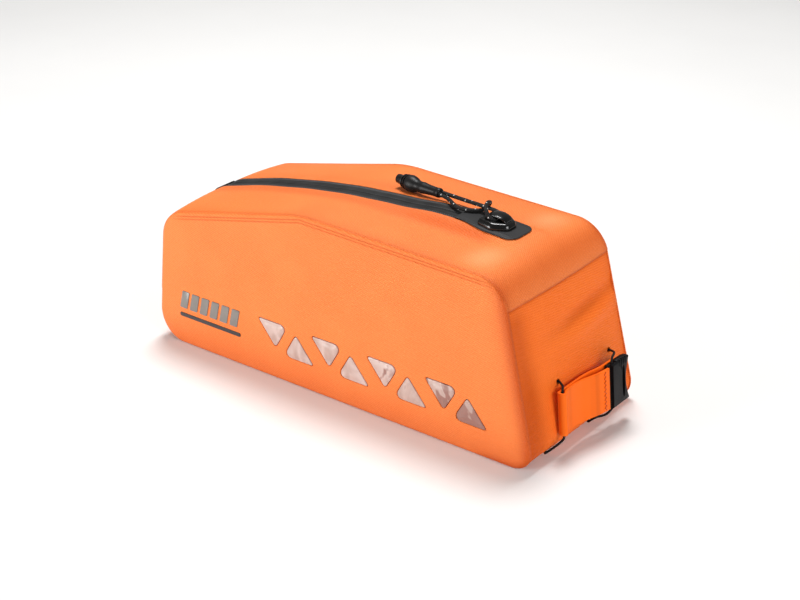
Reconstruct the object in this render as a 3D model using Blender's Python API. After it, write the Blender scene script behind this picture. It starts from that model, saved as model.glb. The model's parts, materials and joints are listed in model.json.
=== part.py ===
"""Bicycle frame bag: a welded cloth shell with a covered zip, film windows, a strap and a cord pull.

Metres, +Z up. X runs from the rear end to the strap end, and the near side faces -Y.
The origin is the middle of the flat base.
"""

import math

import bmesh
import bpy
from mathutils import Matrix, Vector

# Shell, seen from the side
BASE_LENGTH = 0.240
REAR_HEIGHT = 0.0715
KINK_HEIGHT = 0.0932
END_HEIGHT = 0.0912
KINK_FROM_REAR = 0.098
REAR_LEAN = 0.0055
END_LEAN = 0.0225
REAR_FOOT_RADIUS = 0.016
END_FOOT_RADIUS = 0.010
END_TOP_RADIUS = 0.019
KINK_RADIUS = 0.070
REAR_TOP_RADIUS = 0.017

# Shell, across
HALF_WIDTH = 0.0448
SIDE_LEAN = 0.0030
CLOTH_WALL = 0.0020
PANEL_WALL = 0.0018
OUTLINE_STEP = 0.0085
OUTLINE_ARC_STEPS = 6
PANEL_STEP = 0.022
PANEL_ARC_STEPS = 5
RIM_EDGE = 0.0005
RIM_HEIGHT = 0.0018
RIM_ROUND = 0.0030
RIM_FLANGE = 0.0045
DOME_RISE = 0.0011
DOME_REACH = 0.030
GUSSET_INSET = 0.0006
TOP_PANEL_PROUD = 0.0005
SEAM_GAP = 0.0003
BASE_SEAM_SETBACK = 0.006
END_SEAM_HEIGHT = 0.0774
REAR_SEAM_HEIGHT = 0.027

# Crown of the gusset
CROWN_LIFT = 0.0046
RIDGE_LIP = 0.0013
RIDGE_SLOPE = 0.0085

# Zip
TAPE_HALF_WIDTH = 0.0057
TAPE_SINK = 0.0003
TAPE_THICKNESS = 0.0013
TAPE_SEAM = 0.0002
ZIP_END_X = 0.070
ZIP_REAR_HEIGHT = 0.048
PATCH_LENGTH = 0.036
PATCH_HALF_WIDTH = 0.0098
PATCH_NECK = 0.020
PATCH_CORNER = 0.0055
PATCH_THICKNESS = 0.0006
PATCH_PAST_ZIP = 0.0105
SKIN_GAP = 0.0003

# Slider
SLIDER_LENGTH = 0.0165
SLIDER_HALF_WIDTH = 0.0074
SLIDER_PLATE = 0.0014
SLIDER_FROM_END = 0.0045
SLIDER_EDGE = 0.0007
SLIDER_SHOULDER_RADIUS = 0.0050
SLIDER_NOSE_RADIUS = 0.0030
SLIDER_TAIL_RADIUS = 0.0016
BRIDGE_WIDTH = 0.0030
BRIDGE_BAR = 0.0012
BRIDGE_ROOM = 0.0026
BRIDGE_SHARE = 0.72

# Pull
PULL_CORD_RADIUS = 0.0010
GRIP_RADIUS = 0.0043
GRIP_LENGTH = 0.0305
GRIP_SIDES = 14
GRIP_REST_SHARE = 0.64
GRIP_SWING = 0.0032

# Film windows
WINDOW_WIDTH = 0.0196
WINDOW_DROP = 0.0142
WINDOW_DROP_AT = 0.0120
WINDOW_TIP_RADIUS = 0.0011
WINDOW_WIDE_RADIUS = 0.0033
WINDOW_LOW_RADIUS = 0.0016
WINDOW_PITCH = 0.0351
WINDOW_STEP = 0.0373
WINDOW_TOP = 0.0320
WINDOW_FOOT = 0.0150
WINDOW_FIRST_X = -0.0487
WINDOW_PAIRS = 4
FILM_GAP = 0.0003
FILM_RISE = 0.0004
FILM_ROUND = 0.0006

# Reflective trim
DASH_COUNT = 6
DASH_WIDTH = 0.0052
DASH_HEIGHT = 0.0098
DASH_PITCH = 0.0070
DASH_SLANT = 0.0022
DASH_FIRST_X = -0.1030
DASH_FOOT = 0.0215
BAR_LENGTH = 0.0425
BAR_HEIGHT = 0.0022
BAR_FOOT = 0.0165
TRIM_THICKNESS = 0.0005
TRIM_STEP = 0.011

# Strap and buckle
STRAP_HEIGHT = 0.0230
STRAP_FOOT = 0.0115
STRAP_LEAN = math.radians(5.0)
STRAP_WALL = 0.0011
STRAP_STANDOFF = 0.0007
STRAP_LEFT = -0.0238
STRAP_RIGHT = 0.0120
STRAP_SPREAD = 0.0056
BUCKLE_WIDTH = 0.0170
BUCKLE_HEIGHT = 0.0235
BUCKLE_THICKNESS = 0.0038
BUCKLE_WAIST = 0.0030
BUCKLE_SLIT_WIDTH = 0.0016
BUCKLE_SLIT_HEIGHT = 0.0130
BUCKLE_EDGE = 0.0008
BUCKLE_LUG = 0.0016
LUG_SPAN = (0.38, 0.90)
SLIT_SHARE = 0.62
BORE_SHARE = 0.22
LACING_RADIUS = 0.0007
LACING_GAP = 0.00045
LACING_OUT = 0.0016
NEAR_HOLE_Y = -0.0165
NEAR_HOLE_HEIGHT = 0.0345
NEAR_FOOT_Y = -0.0290
FAR_HOLE_Y = 0.0290
FAR_HOLE_HEIGHT = 0.0325
FAR_FOOT_Y = 0.0085
FOOT_HOLE_SHARE = 0.48

# Routes of the lacing cords from hole to hole, by what they run through: millimetres out from and
# across its bore, and share of its height
SLEEVE_ROUTE = (
    (-0.4, 1.6, 1.13),
    (0.0, 0.0, 1.06),
    (0.0, 0.0, 0.94),
    (0.0, 0.0, 0.70),
    (0.0, 0.0, 0.30),
    (0.0, 0.0, 0.06),
    (0.0, 0.0, -0.06),
    (-0.6, -1.8, -0.16),
)
BUCKLE_ROUTE = (
    (-3.6, 4.6, 1.085),
    (0.0, 0.0, 1.03),
    (0.0, 0.0, 0.92),
    (0.0, 0.0, 0.60),
    (0.0, 0.0, 0.30),
    (0.0, 0.0, 0.00),
    (0.0, 0.0, -0.06),
    (-2.0, -3.0, -0.19),
    (-5.5, -7.0, -0.24),
)

# Route of the doubled pull cord, from the grip, round the slider's bridge and back, in millimetres
# from the slider's middle at the top of its plate: along the bag, across it, up
PULL_ROUTE = (
    (-41.0, 11.0, -1.7),
    (-34.5, 9.9, -1.0),
    (-26.5, 8.4, -0.1),
    (-19.0, 6.7, 1.0),
    (-12.5, 5.3, 1.9),
    (-7.0, 4.6, 2.3),
    (-2.8, 4.2, 2.0),
    (-0.4, 2.9, 1.4),
    (0.1, 0.0, 1.3),
    (-0.6, -2.9, 1.5),
    (-2.9, -4.1, 2.6),
    (-5.4, -3.2, 4.6),
    (-7.6, -0.3, 5.7),
    (-9.0, 3.3, 5.7),
    (-10.2, 6.9, 4.2),
    (-11.6, 7.9, 2.0),
    (-13.5, 6.0, -0.4),
    (-16.4, 3.0, -0.7),
    (-21.0, 1.3, -0.9),
    (-26.0, 2.0, -1.5),
    (-31.0, 4.8, -1.6),
    (-35.8, 7.4, -1.7),
    (-41.0, 8.7, -1.9),
)

ACROSS = Vector((0.0, 1.0, 0.0))
MILLIMETRE = 0.001

# Lift of the gusset's middle line, going round the outline: run, share of that run from its start,
# share of CROWN_LIFT, and share of the narrow ridge under the zip against a broad arch
CROWN_TABLE = (
    ("base", 1.00, 0.00, 0.0),
    ("end foot", 1.00, 0.14, 0.0),
    ("end", 0.35, 0.34, 0.0),
    ("end", 0.75, 0.26, 0.0),
    ("end top", 0.30, 0.34, 0.1),
    ("end top", 1.00, 0.66, 0.5),
    ("top", 0.20, 0.95, 1.0),
    ("top", 0.50, 1.00, 1.0),
    ("top", 0.75, 0.42, 0.8),
    ("kink", 0.50, -0.12, 0.0),
    ("rise", 0.30, 0.42, 0.0),
    ("rise", 0.65, 0.66, 0.0),
    ("rise", 1.00, 0.50, 0.0),
    ("rear top", 1.00, 0.32, 0.0),
    ("rear", 0.50, 0.22, 0.0),
    ("rear foot", 1.00, 0.00, 0.0),
)

# Cross-section of the slider's bridge: shares of half its width and of half its thickness
BAR_SECTION = ((-1, -0.6), (-0.6, -1), (0.6, -1), (1, -0.6), (1, 0.6), (0.6, 1), (-0.6, 1), (-1, 0.6))

# Half width of the grip along its length: share of GRIP_LENGTH, share of GRIP_RADIUS
GRIP_TABLE = (
    (0.000, 0.42),
    (0.012, 0.55),
    (0.130, 0.58),
    (0.150, 0.66),
    (0.180, 0.86),
    (0.215, 0.80),
    (0.250, 0.95),
    (0.330, 1.00),
    (0.420, 0.92),
    (0.500, 0.68),
    (0.560, 0.66),
    (0.640, 0.68),
    (0.800, 0.58),
    (0.980, 0.54),
    (1.000, 0.50),
)

# The strap's layers from its fold to the buckle: share of the length, share of STRAP_SPREAD outwards
FRONT_LAYER = (
    (1.00, 1.10),
    (0.80, 0.88),
    (0.62, 0.50),
    (0.45, 0.14),
    (0.30, 0.00),
    (0.17, 0.00),
    (0.08, 0.12),
)
BACK_LAYER = (
    (0.45, 0.00),
    (0.62, 0.04),
    (0.75, 0.14),
    (0.88, 0.30),
    (1.00, 0.40),
    (1.25, 0.44),
)

# Rings of a side panel: shares of its rim's round, then shares of the way in to its middle line
RIM_RINGS = (0.12, 0.38, 0.68, 1.0)
SPINE_RINGS = (0.20, 0.42, 0.66)
SPINE_HEIGHT_SHARE = 0.48

# Columns across the gusset: shares of its half width, and shares of the slope beside the zip
WIDE_COLUMNS = (-1.0, -0.7, -0.35, 0.0, 0.35, 0.7, 1.0)
SLOPE_COLUMNS = (0.0, 0.35, 0.7, 1.0)

# Principled settings: base colour, roughness, metallic
FINISHES = {
    "shell_cloth": ((0.90, 0.22, 0.045), 0.62, 0.0),
    "end_cloth": ((0.86, 0.15, 0.02), 0.62, 0.0),
    "zip_tape": ((0.035, 0.035, 0.038), 0.55, 0.0),
    "patch_rubber": ((0.030, 0.030, 0.033), 0.50, 0.0),
    "slider_gloss": ((0.008, 0.008, 0.009), 0.12, 0.0),
    "grip_rubber": ((0.018, 0.018, 0.020), 0.42, 0.0),
    "pull_cord": ((0.015, 0.015, 0.016), 0.70, 0.0),
    "lacing_cord": ((0.012, 0.012, 0.013), 0.65, 0.0),
    "window_film": ((0.86, 0.62, 0.56), 0.25, 0.0),
    "reflective_trim": ((0.42, 0.41, 0.39), 0.35, 0.3),
    "bar_trim": ((0.030, 0.028, 0.030), 0.45, 0.0),
    "strap_webbing": ((0.90, 0.21, 0.04), 0.50, 0.0),
    "buckle_plastic": ((0.020, 0.020, 0.022), 0.38, 0.0),
}


def clear_scene():
    for thing in list(bpy.data.objects):
        bpy.data.objects.remove(thing)


def smooth_share(value):
    value = min(max(value, 0.0), 1.0)
    return value * value * (3.0 - 2.0 * value)


def finish(name):
    material = bpy.data.materials.get(name)
    if material is None:
        colour, roughness, metallic = FINISHES[name]
        material = bpy.data.materials.new(name)
        material.use_nodes = True
        shader = material.node_tree.nodes["Principled BSDF"]
        shader.inputs["Base Color"].default_value = (*colour, 1.0)
        shader.inputs["Roughness"].default_value = roughness
        shader.inputs["Metallic"].default_value = metallic
    return material


def put(name, bm, finish_name=None):
    """Make the bmesh an object; one with no finish is a cutter, which isn't part of the bag."""
    bmesh.ops.recalc_face_normals(bm, faces=bm.faces)
    mesh = bpy.data.meshes.new(name)
    bm.to_mesh(mesh)
    bm.free()
    piece = bpy.data.objects.new(name, mesh)
    bpy.context.collection.objects.link(piece)
    if finish_name:
        mesh.materials.append(finish(finish_name))
        mesh.shade_smooth()
        mesh.set_sharp_from_angle(angle=math.radians(35.0))
    else:
        piece.hide_render = True
        piece.display_type = "WIRE"
    return piece


def combine(piece, other, operation):
    change = piece.modifiers.new(operation.lower(), "BOOLEAN")
    change.object = other
    change.operation = operation
    change.solver = "EXACT"


def skin_rings(bm, rings):
    """Quads between rings of as many points, with a flat cap on the first and the last."""
    loops = [[bm.verts.new(point) for point in ring] for ring in rings]
    for low, high in zip(loops, loops[1:]):
        count = len(low)
        for k in range(count):
            bm.faces.new((low[k], low[(k + 1) % count], high[(k + 1) % count], high[k]))
    bm.faces.new(loops[0])
    bm.faces.new(loops[-1])


def rounded_corners(corners, arc_steps):
    """Points and outward normals round a polygon of (x, z, radius) corners, taken anticlockwise."""
    rounded = []
    count = len(corners)
    for k, (x, z, radius) in enumerate(corners):
        here = Vector((x, z))
        before = (here - Vector(corners[k - 1][:2])).normalized()
        after = (Vector(corners[(k + 1) % count][:2]) - here).normalized()
        turn = math.acos(min(max(before.dot(after), -1.0), 1.0))
        reach = radius * math.tan(turn / 2.0)
        first = Vector((before.y, -before.x))
        centre = here - before * reach - first * radius
        arc = []
        for step in range(arc_steps + 1):
            angle = turn * step / arc_steps
            normal = Vector((
                first.x * math.cos(angle) - first.y * math.sin(angle),
                first.x * math.sin(angle) + first.y * math.cos(angle),
            ))
            arc.append((centre + normal * radius, normal))
        rounded.append(arc)
    return rounded


def outline_corners():
    rear = -BASE_LENGTH / 2.0
    end = BASE_LENGTH / 2.0
    return (
        ("rear foot", rear, 0.0, REAR_FOOT_RADIUS),
        ("end foot", end, 0.0, END_FOOT_RADIUS),
        ("end top", end - END_LEAN, END_HEIGHT, END_TOP_RADIUS),
        ("kink", rear + KINK_FROM_REAR, KINK_HEIGHT, KINK_RADIUS),
        ("rear top", rear + REAR_LEAN, REAR_HEIGHT, REAR_TOP_RADIUS),
    )


RUN_AFTER = {"rear foot": "base", "end foot": "end", "end top": "top", "kink": "rise", "rear top": "rear"}


def trace_outline(spacing, arc_steps):
    """Stations round the side outline from the base's rear end: distance, point, normal; and the runs.

    The last station is past the start again, where the base's rear seam is.
    """
    corners = outline_corners()
    arcs = rounded_corners([corner[1:] for corner in corners], arc_steps)
    stations = []
    runs = {}
    distance = 0.0

    def add(point, normal):
        nonlocal distance
        if stations:
            distance += (point - stations[-1][1]).length
        stations.append((distance, point, normal))

    add(*arcs[0][-1])
    for k in range(len(corners)):
        name = corners[k][0]
        following = (k + 1) % len(corners)
        leave, normal = arcs[k][-1]
        arrive = arcs[following][0][0]
        pieces = max(1, round((arrive - leave).length / spacing))
        start = distance
        for step in range(1, pieces + 1):
            add(leave.lerp(arrive, step / pieces), normal)
        runs[RUN_AFTER[name]] = (start, distance)
        start = distance
        for point, normal in arcs[following][1:]:
            add(point, normal)
        runs[corners[following][0]] = (start, distance)
    _, first, down = stations[0]
    add(first + Vector((BASE_SEAM_SETBACK, 0.0)), down)
    return stations, runs


STATIONS, RUNS = trace_outline(OUTLINE_STEP, OUTLINE_ARC_STEPS)


def along_run(run, share):
    start, stop = RUNS[run]
    return start + (stop - start) * share


def station_at(distance):
    for before, after in zip(STATIONS, STATIONS[1:]):
        if distance <= after[0]:
            break
    share = (distance - before[0]) / (after[0] - before[0])
    return distance, before[1].lerp(after[1], share), before[2].lerp(after[2], share).normalized()


def stations_between(marks):
    """Every station from the first mark to the last, with one on each mark."""
    near = OUTLINE_STEP / 5.0
    inner = [station for station in STATIONS if marks[0] < station[0] < marks[-1]]
    kept = [station for station in inner if min(abs(station[0] - mark) for mark in marks) > near]
    return sorted(kept + [station_at(mark) for mark in marks], key=lambda station: station[0])


def distance_at_height(run, height):
    low = station_at(RUNS[run][0])[1].y
    high = station_at(RUNS[run][1])[1].y
    return along_run(run, (height - low) / (high - low))


def distance_on_top(x):
    low = station_at(RUNS["top"][0])[1].x
    high = station_at(RUNS["top"][1])[1].x
    return along_run("top", (x - low) / (high - low))


def half_width(z):
    """Distance from the middle to a side panel's inner face."""
    return HALF_WIDTH - SIDE_LEAN * z / KINK_HEIGHT


def crown_at(distance):
    rows = [(along_run(run, share), lift, ridge) for run, share, lift, ridge in CROWN_TABLE]
    if distance <= rows[0][0]:
        return 0.0, 0.0
    for before, after in zip(rows, rows[1:]):
        if distance <= after[0]:
            share = smooth_share((distance - before[0]) / (after[0] - before[0]))
            return tuple(b + (a - b) * share for b, a in zip(before[1:], after[1:]))
    return 0.0, 0.0


def crown_lift(distance, y, z):
    lift, ridge = crown_at(distance)
    shoulder = TAPE_HALF_WIDTH + SEAM_GAP + RIDGE_LIP
    arch = 1.0 - max(abs(y) - shoulder, 0.0) ** 2 / (half_width(z) - shoulder) ** 2
    narrow = 0.16 * arch + 0.84 * (1.0 - smooth_share((abs(y) - shoulder) / RIDGE_SLOPE))
    return CROWN_LIFT * lift * (arch + (narrow - arch) * ridge)


def gusset_inset(distance):
    """The gusset stands back from the panels' rims, except along the flat base."""
    foot_start, foot_stop = RUNS["end foot"]
    rear_start, rear_stop = RUNS["rear foot"]
    if distance < foot_stop:
        return GUSSET_INSET * smooth_share((distance - foot_start) / (foot_stop - foot_start))
    return GUSSET_INSET * smooth_share((rear_stop - distance) / (rear_stop - rear_start))


def gusset_point(station, y, above=0.0):
    distance, point, normal = station
    rise = crown_lift(distance, y, point.y) - gusset_inset(distance) + above
    place = point + normal * rise
    return Vector((place.x, y, place.y))


def gusset_sheet(name, marks, columns, finish_name, above=0.0, wall=CLOTH_WALL, slot=None):
    """A cloth panel between the sides; columns gives each station's y values."""
    stations = stations_between(marks)
    rows = [columns(station) for station in stations]
    bm = bmesh.new()
    grid = [
        [bm.verts.new(gusset_point(station, y, above)) for y in row]
        for station, row in zip(stations, rows)
    ]
    middle = (len(rows[0]) - 1) // 2
    for k in range(len(grid) - 1):
        centre = (stations[k][0] + stations[k + 1][0]) / 2.0
        for j in range(len(rows[0]) - 1):
            if slot and slot[0] < centre < slot[1] and j == middle:
                continue
            bm.faces.new((grid[k][j], grid[k][j + 1], grid[k + 1][j + 1], grid[k + 1][j]))
    piece = put(name, bm, finish_name)
    face_outward(piece, stations)
    thicken = piece.modifiers.new("wall", "SOLIDIFY")
    thicken.thickness = wall
    thicken.offset = -1.0
    thicken.use_even_offset = True
    return piece


def face_outward(piece, stations):
    """Turn the sheet so that its faces look away from the bag."""
    face = piece.data.polygons[0]
    outward = stations[0][2]
    if face.normal.dot(Vector((outward.x, 0.0, outward.y))) < 0.0:
        piece.data.flip_normals()


def wide_columns(station):
    edge = half_width(station[1].y) - SEAM_GAP
    return [edge * share for share in WIDE_COLUMNS]


def zip_columns(station):
    edge = half_width(station[1].y) - SEAM_GAP
    slot = TAPE_HALF_WIDTH + SEAM_GAP
    lip = slot + RIDGE_LIP
    foot = lip + RIDGE_SLOPE
    slope = [lip + RIDGE_SLOPE * share for share in SLOPE_COLUMNS]
    half = [slot, *slope, (foot + edge) / 2.0, edge]
    return [-y for y in reversed(half)] + half


def zip_marks():
    return distance_on_top(ZIP_END_X), distance_at_height("rear", ZIP_REAR_HEIGHT)


def make_gusset():
    end_seam = distance_at_height("end", END_SEAM_HEIGHT)
    rear_seam = distance_at_height("rear", REAR_SEAM_HEIGHT)
    base_start = RUNS["base"][0] + BASE_SEAM_SETBACK
    base_stop = RUNS["base"][1] - BASE_SEAM_SETBACK
    gusset_sheet("base_panel", (base_start + SEAM_GAP, base_stop), wide_columns, "shell_cloth")
    panel = gusset_sheet(
        "strap_end_panel", (base_stop + SEAM_GAP, end_seam - SEAM_GAP), wide_columns, "end_cloth"
    )
    slot = zip_marks()
    gusset_sheet(
        "top_panel", (end_seam, *slot, rear_seam), zip_columns, "shell_cloth", TOP_PANEL_PROUD, slot=slot
    )
    gusset_sheet("rear_panel", (rear_seam + SEAM_GAP, STATIONS[-1][0]), wide_columns, "shell_cloth")
    return panel


def depth_inside(x, z):
    """Distance from a point on a side panel to the panel's outline."""
    here = Vector((x, z))
    corners = outline_corners()
    gaps = []
    for k, corner in enumerate(corners):
        start = Vector(corner[1:3])
        way = (Vector(corners[(k + 1) % len(corners)][1:3]) - start).normalized()
        gaps.append((here - start).dot(Vector((-way.y, way.x))))
    depth = min(gaps)
    for k, arc in enumerate(rounded_corners([corner[1:] for corner in corners], 1)):
        (start, first), (_, last) = arc
        radius = corners[k][3]
        reach = here - (start - first * radius)
        if first.x * reach.y >= first.y * reach.x and reach.x * last.y >= reach.y * last.x:
            depth = min(depth, radius - reach.length)
    return max(depth, 0.0)


def skin_out(depth):
    """Height of a side panel's outer face over its inner plane, at this distance from the outline."""
    share = 1.0 - min(depth / RIM_ROUND, 1.0)
    rim = RIM_EDGE + (RIM_HEIGHT - RIM_EDGE) * math.sqrt(1.0 - share * share)
    return rim + DOME_RISE * math.sin(math.pi / 2.0 * min(depth / DOME_REACH, 1.0))


def panel_point(side, x, z, out):
    return Vector((x, side * (half_width(z) + out), z))


def surface_point(side, x, z, above):
    return panel_point(side, x, z, skin_out(depth_inside(x, z)) + above)


def toward_spine(point, share):
    """A point moved towards the panel's middle line, which runs along the bag at mid height."""
    reach = BASE_LENGTH / 2.0 - KINK_HEIGHT / 2.0
    spine = Vector((min(max(point.x, -reach), reach), KINK_HEIGHT * SPINE_HEIGHT_SHARE))
    return point.lerp(spine, share)


def make_side_panel(name, side):
    outline = trace_outline(PANEL_STEP, PANEL_ARC_STEPS)[0][:-2]
    rings = []
    for depth, out in ((RIM_FLANGE, 0.0), (0.0, 0.0), (0.0, RIM_EDGE)):
        rings.append([panel_point(side, *(p - n * depth), out) for _, p, n in outline])
    for share in RIM_RINGS:
        depth = RIM_ROUND * share
        rings.append([panel_point(side, *(p - n * depth), skin_out(depth)) for _, p, n in outline])
    inner = [rings[0]]
    for share in SPINE_RINGS:
        places = [toward_spine(p, share) for _, p, _ in outline]
        outs = [skin_out(depth_inside(*place)) for place in places]
        rings.append([panel_point(side, *place, out) for place, out in zip(places, outs)])
        inner.append([panel_point(side, *place, out - PANEL_WALL) for place, out in zip(places, outs)])
    bm = bmesh.new()
    skin_rings(bm, list(reversed(inner[1:])) + rings)
    panel = put(name, bm, "shell_cloth")
    combine(panel, make_window_cutter(name + "_windows", side), "DIFFERENCE")


def window_corners(index):
    """Corners of one window, anticlockwise: even ones hang from their tip, odd ones are turned over."""
    pair, lower = divmod(index, 2)
    tip_x = WINDOW_FIRST_X + WINDOW_PITCH * pair + WINDOW_STEP * lower
    tip = Vector((tip_x, WINDOW_FOOT if lower else WINDOW_TOP))
    sign = -1.0 if lower else 1.0
    wide = tip + Vector((WINDOW_WIDTH * sign, 0.0))
    low = tip + Vector((WINDOW_DROP_AT * sign, -WINDOW_DROP * sign))
    return (
        (tip.x, tip.y, WINDOW_TIP_RADIUS),
        (low.x, low.y, WINDOW_LOW_RADIUS),
        (wide.x, wide.y, WINDOW_WIDE_RADIUS),
    )


def window_outline(index, inset):
    """Points round a window, moved in by inset."""
    arcs = rounded_corners(window_corners(index), 4)
    return [point - normal * inset for arc in arcs for point, normal in arc]


def make_window_cutter(name, side):
    bm = bmesh.new()
    for index in range(WINDOW_PAIRS * 2):
        outline = window_outline(index, 0.0)
        skin_rings(bm, [
            [panel_point(side, *place, out) for place in outline]
            for out in (-PANEL_WALL, RIM_HEIGHT + DOME_RISE + PANEL_WALL)
        ])
    return put(name, bm)


def make_films(label, side):
    for index in range(WINDOW_PAIRS * 2):
        rings = []
        for inset, above in (
            (FILM_GAP, -PANEL_WALL),
            (FILM_GAP, FILM_RISE - FILM_ROUND),
            (FILM_GAP + FILM_ROUND, FILM_RISE),
        ):
            rings.append([surface_point(side, *place, above) for place in window_outline(index, inset)])
        bm = bmesh.new()
        skin_rings(bm, rings)
        put(f"window_film_{label}_{index + 1}", bm, "window_film")


def make_trim_plate(name, x, foot, width, height, slant, finish_name):
    """A thin slanted plate that lies on the near side panel."""
    rings = []
    for above in (SKIN_GAP, SKIN_GAP + TRIM_THICKNESS):
        ring = []
        steps = max(1, round(width / TRIM_STEP))
        for k in range(steps + 1):
            ring.append(surface_point(-1, x + width * k / steps, foot, above))
        for k in range(steps, -1, -1):
            ring.append(surface_point(-1, x + slant + width * k / steps, foot + height, above))
        rings.append(ring)
    bm = bmesh.new()
    skin_rings(bm, rings)
    put(name, bm, finish_name)


def make_reflective_trim():
    for index in range(DASH_COUNT):
        name = f"reflector_dash_{index + 1}"
        x = DASH_FIRST_X + DASH_PITCH * index
        make_trim_plate(name, x, DASH_FOOT, DASH_WIDTH, DASH_HEIGHT, DASH_SLANT, "reflective_trim")
    make_trim_plate("accent_bar", DASH_FIRST_X, BAR_FOOT, BAR_LENGTH, BAR_HEIGHT, 0.0, "bar_trim")


def make_zip_tape(name, side):
    start, stop = zip_marks()

    def columns(_station):
        near = TAPE_SEAM
        return [side * near, side * (near + TAPE_HALF_WIDTH) / 2.0, side * TAPE_HALF_WIDTH]

    gusset_sheet(
        name,
        (start + SEAM_GAP, stop - SEAM_GAP),
        columns,
        "zip_tape",
        TOP_PANEL_PROUD - TAPE_SINK,
        TAPE_THICKNESS,
    )


def patch_half_width(along):
    """Half width of an end patch, measured from its narrow end: a neck, then rounded corners."""
    width = TAPE_HALF_WIDTH + (PATCH_HALF_WIDTH - TAPE_HALF_WIDTH) * smooth_share(along / PATCH_NECK)
    left = PATCH_LENGTH - along
    if left < PATCH_CORNER:
        short = PATCH_CORNER - left
        width -= PATCH_CORNER - math.sqrt(max(PATCH_CORNER * PATCH_CORNER - short * short, 0.0))
    return width


def make_end_patch(name, far_end, way):
    """A rubber patch over one end of the zip; way is +1 where distance grows towards its narrow end."""
    shares = (0.0, 0.14, 0.28, 0.42, 0.60, 0.78, 0.90, 0.96, 1.0)
    rings = []
    for share in shares:
        along = PATCH_LENGTH * share
        station = station_at(far_end + way * (PATCH_LENGTH - along))
        width = patch_half_width(along)
        low = TOP_PANEL_PROUD + SKIN_GAP
        ring = [gusset_point(station, width * k / 3.0, low) for k in range(-3, 4)]
        ring += [gusset_point(station, width * k / 3.0, low + PATCH_THICKNESS) for k in range(3, -4, -1)]
        rings.append(ring)
    bm = bmesh.new()
    skin_rings(bm, rings)
    put(name, bm, "patch_rubber")


def slider_frame():
    """Place and turn of the slider: X along the zip towards the strap end, Z off the bag."""
    middle = distance_on_top(ZIP_END_X) + SLIDER_FROM_END
    station = station_at(middle)
    ahead = gusset_point(station_at(middle - SLIDER_LENGTH / 3.0), 0.0)
    behind = gusset_point(station_at(middle + SLIDER_LENGTH / 3.0), 0.0)
    along = (ahead - behind).normalized()
    up = along.cross(ACROSS).normalized()
    lift = TOP_PANEL_PROUD + SKIN_GAP + PATCH_THICKNESS + SKIN_GAP
    place = gusset_point(station, 0.0) + up * lift
    return Matrix.Translation(place) @ Matrix((along, ACROSS, up)).transposed().to_4x4()


def make_slider():
    half = SLIDER_LENGTH / 2.0
    wide = SLIDER_HALF_WIDTH
    corners = (
        (-half, -wide * 0.80, SLIDER_TAIL_RADIUS),
        (half * 0.15, -wide, SLIDER_SHOULDER_RADIUS),
        (half, -wide * 0.42, SLIDER_NOSE_RADIUS),
        (half, wide * 0.42, SLIDER_NOSE_RADIUS),
        (half * 0.15, wide, SLIDER_SHOULDER_RADIUS),
        (-half, wide * 0.80, SLIDER_TAIL_RADIUS),
    )
    outline = rounded_corners(corners, 3)
    rings = []
    for inset, height in ((0.0, 0.0), (0.0, SLIDER_PLATE - SLIDER_EDGE), (SLIDER_EDGE, SLIDER_PLATE)):
        rings.append([Vector((*(p - n * inset), height)) for arc in outline for p, n in arc])
    bm = bmesh.new()
    skin_rings(bm, rings)
    plate = put("zip_slider", bm, "slider_gloss")
    plate.matrix_world = slider_frame()
    combine(plate, make_bridge("slider_bridge"), "UNION")


def make_bridge(name):
    """The bar over the slider that the cord is tied round."""
    reach = SLIDER_LENGTH * BRIDGE_SHARE / 2.0
    foot = SLIDER_PLATE / 2.0
    rise = foot + BRIDGE_ROOM + BRIDGE_BAR / 2.0
    steps = 12
    route = []
    for k in range(steps + 1):
        angle = math.pi * k / steps
        route.append(Vector((-reach * math.cos(angle), 0.0, foot + rise * math.sin(angle) ** 0.45)))
    rings = []
    for k, point in enumerate(route):
        way = (route[min(k + 1, steps)] - route[max(k - 1, 0)]).normalized()
        side = way.cross(ACROSS)
        rings.append([
            point + ACROSS * BRIDGE_WIDTH / 2.0 * across + side * BRIDGE_BAR / 2.0 * up
            for across, up in BAR_SECTION
        ])
    bm = bmesh.new()
    skin_rings(bm, rings)
    bridge = put(name, bm)
    bridge.matrix_world = slider_frame()
    return bridge


def smooth_route(points, steps):
    """Points on a smooth curve through the route's own points."""
    whole = []
    last = len(points) - 1
    for k in range(last):
        a, b, c, d = (points[min(max(k + shift, 0), last)] for shift in (-1, 0, 1, 2))
        for step in range(steps):
            t = step / steps
            whole.append(
                (b * 2.0 + (c - a) * t + (a * 2.0 - b * 5.0 + c * 4.0 - d) * t ** 2
                 + (b * 3.0 - a - c * 3.0 + d) * t ** 3) / 2.0
            )
    whole.append(points[last])
    return whole


def make_cord(name, points, radius, finish_name):
    curve = bpy.data.curves.new(name, "CURVE")
    curve.dimensions = "3D"
    curve.bevel_depth = radius
    curve.bevel_resolution = 2
    curve.use_fill_caps = True
    spline = curve.splines.new("POLY")
    spline.points.add(len(points) - 1)
    for knot, point in zip(spline.points, points):
        knot.co = (*point, 1.0)
    curve.materials.append(finish(finish_name))
    piece = bpy.data.objects.new(name, curve)
    bpy.context.collection.objects.link(piece)


def pull_route():
    frame = slider_frame() @ Matrix.Translation((0.0, 0.0, SLIDER_PLATE))
    return [frame @ (Vector(row) * MILLIMETRE) for row in PULL_ROUTE]


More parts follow.
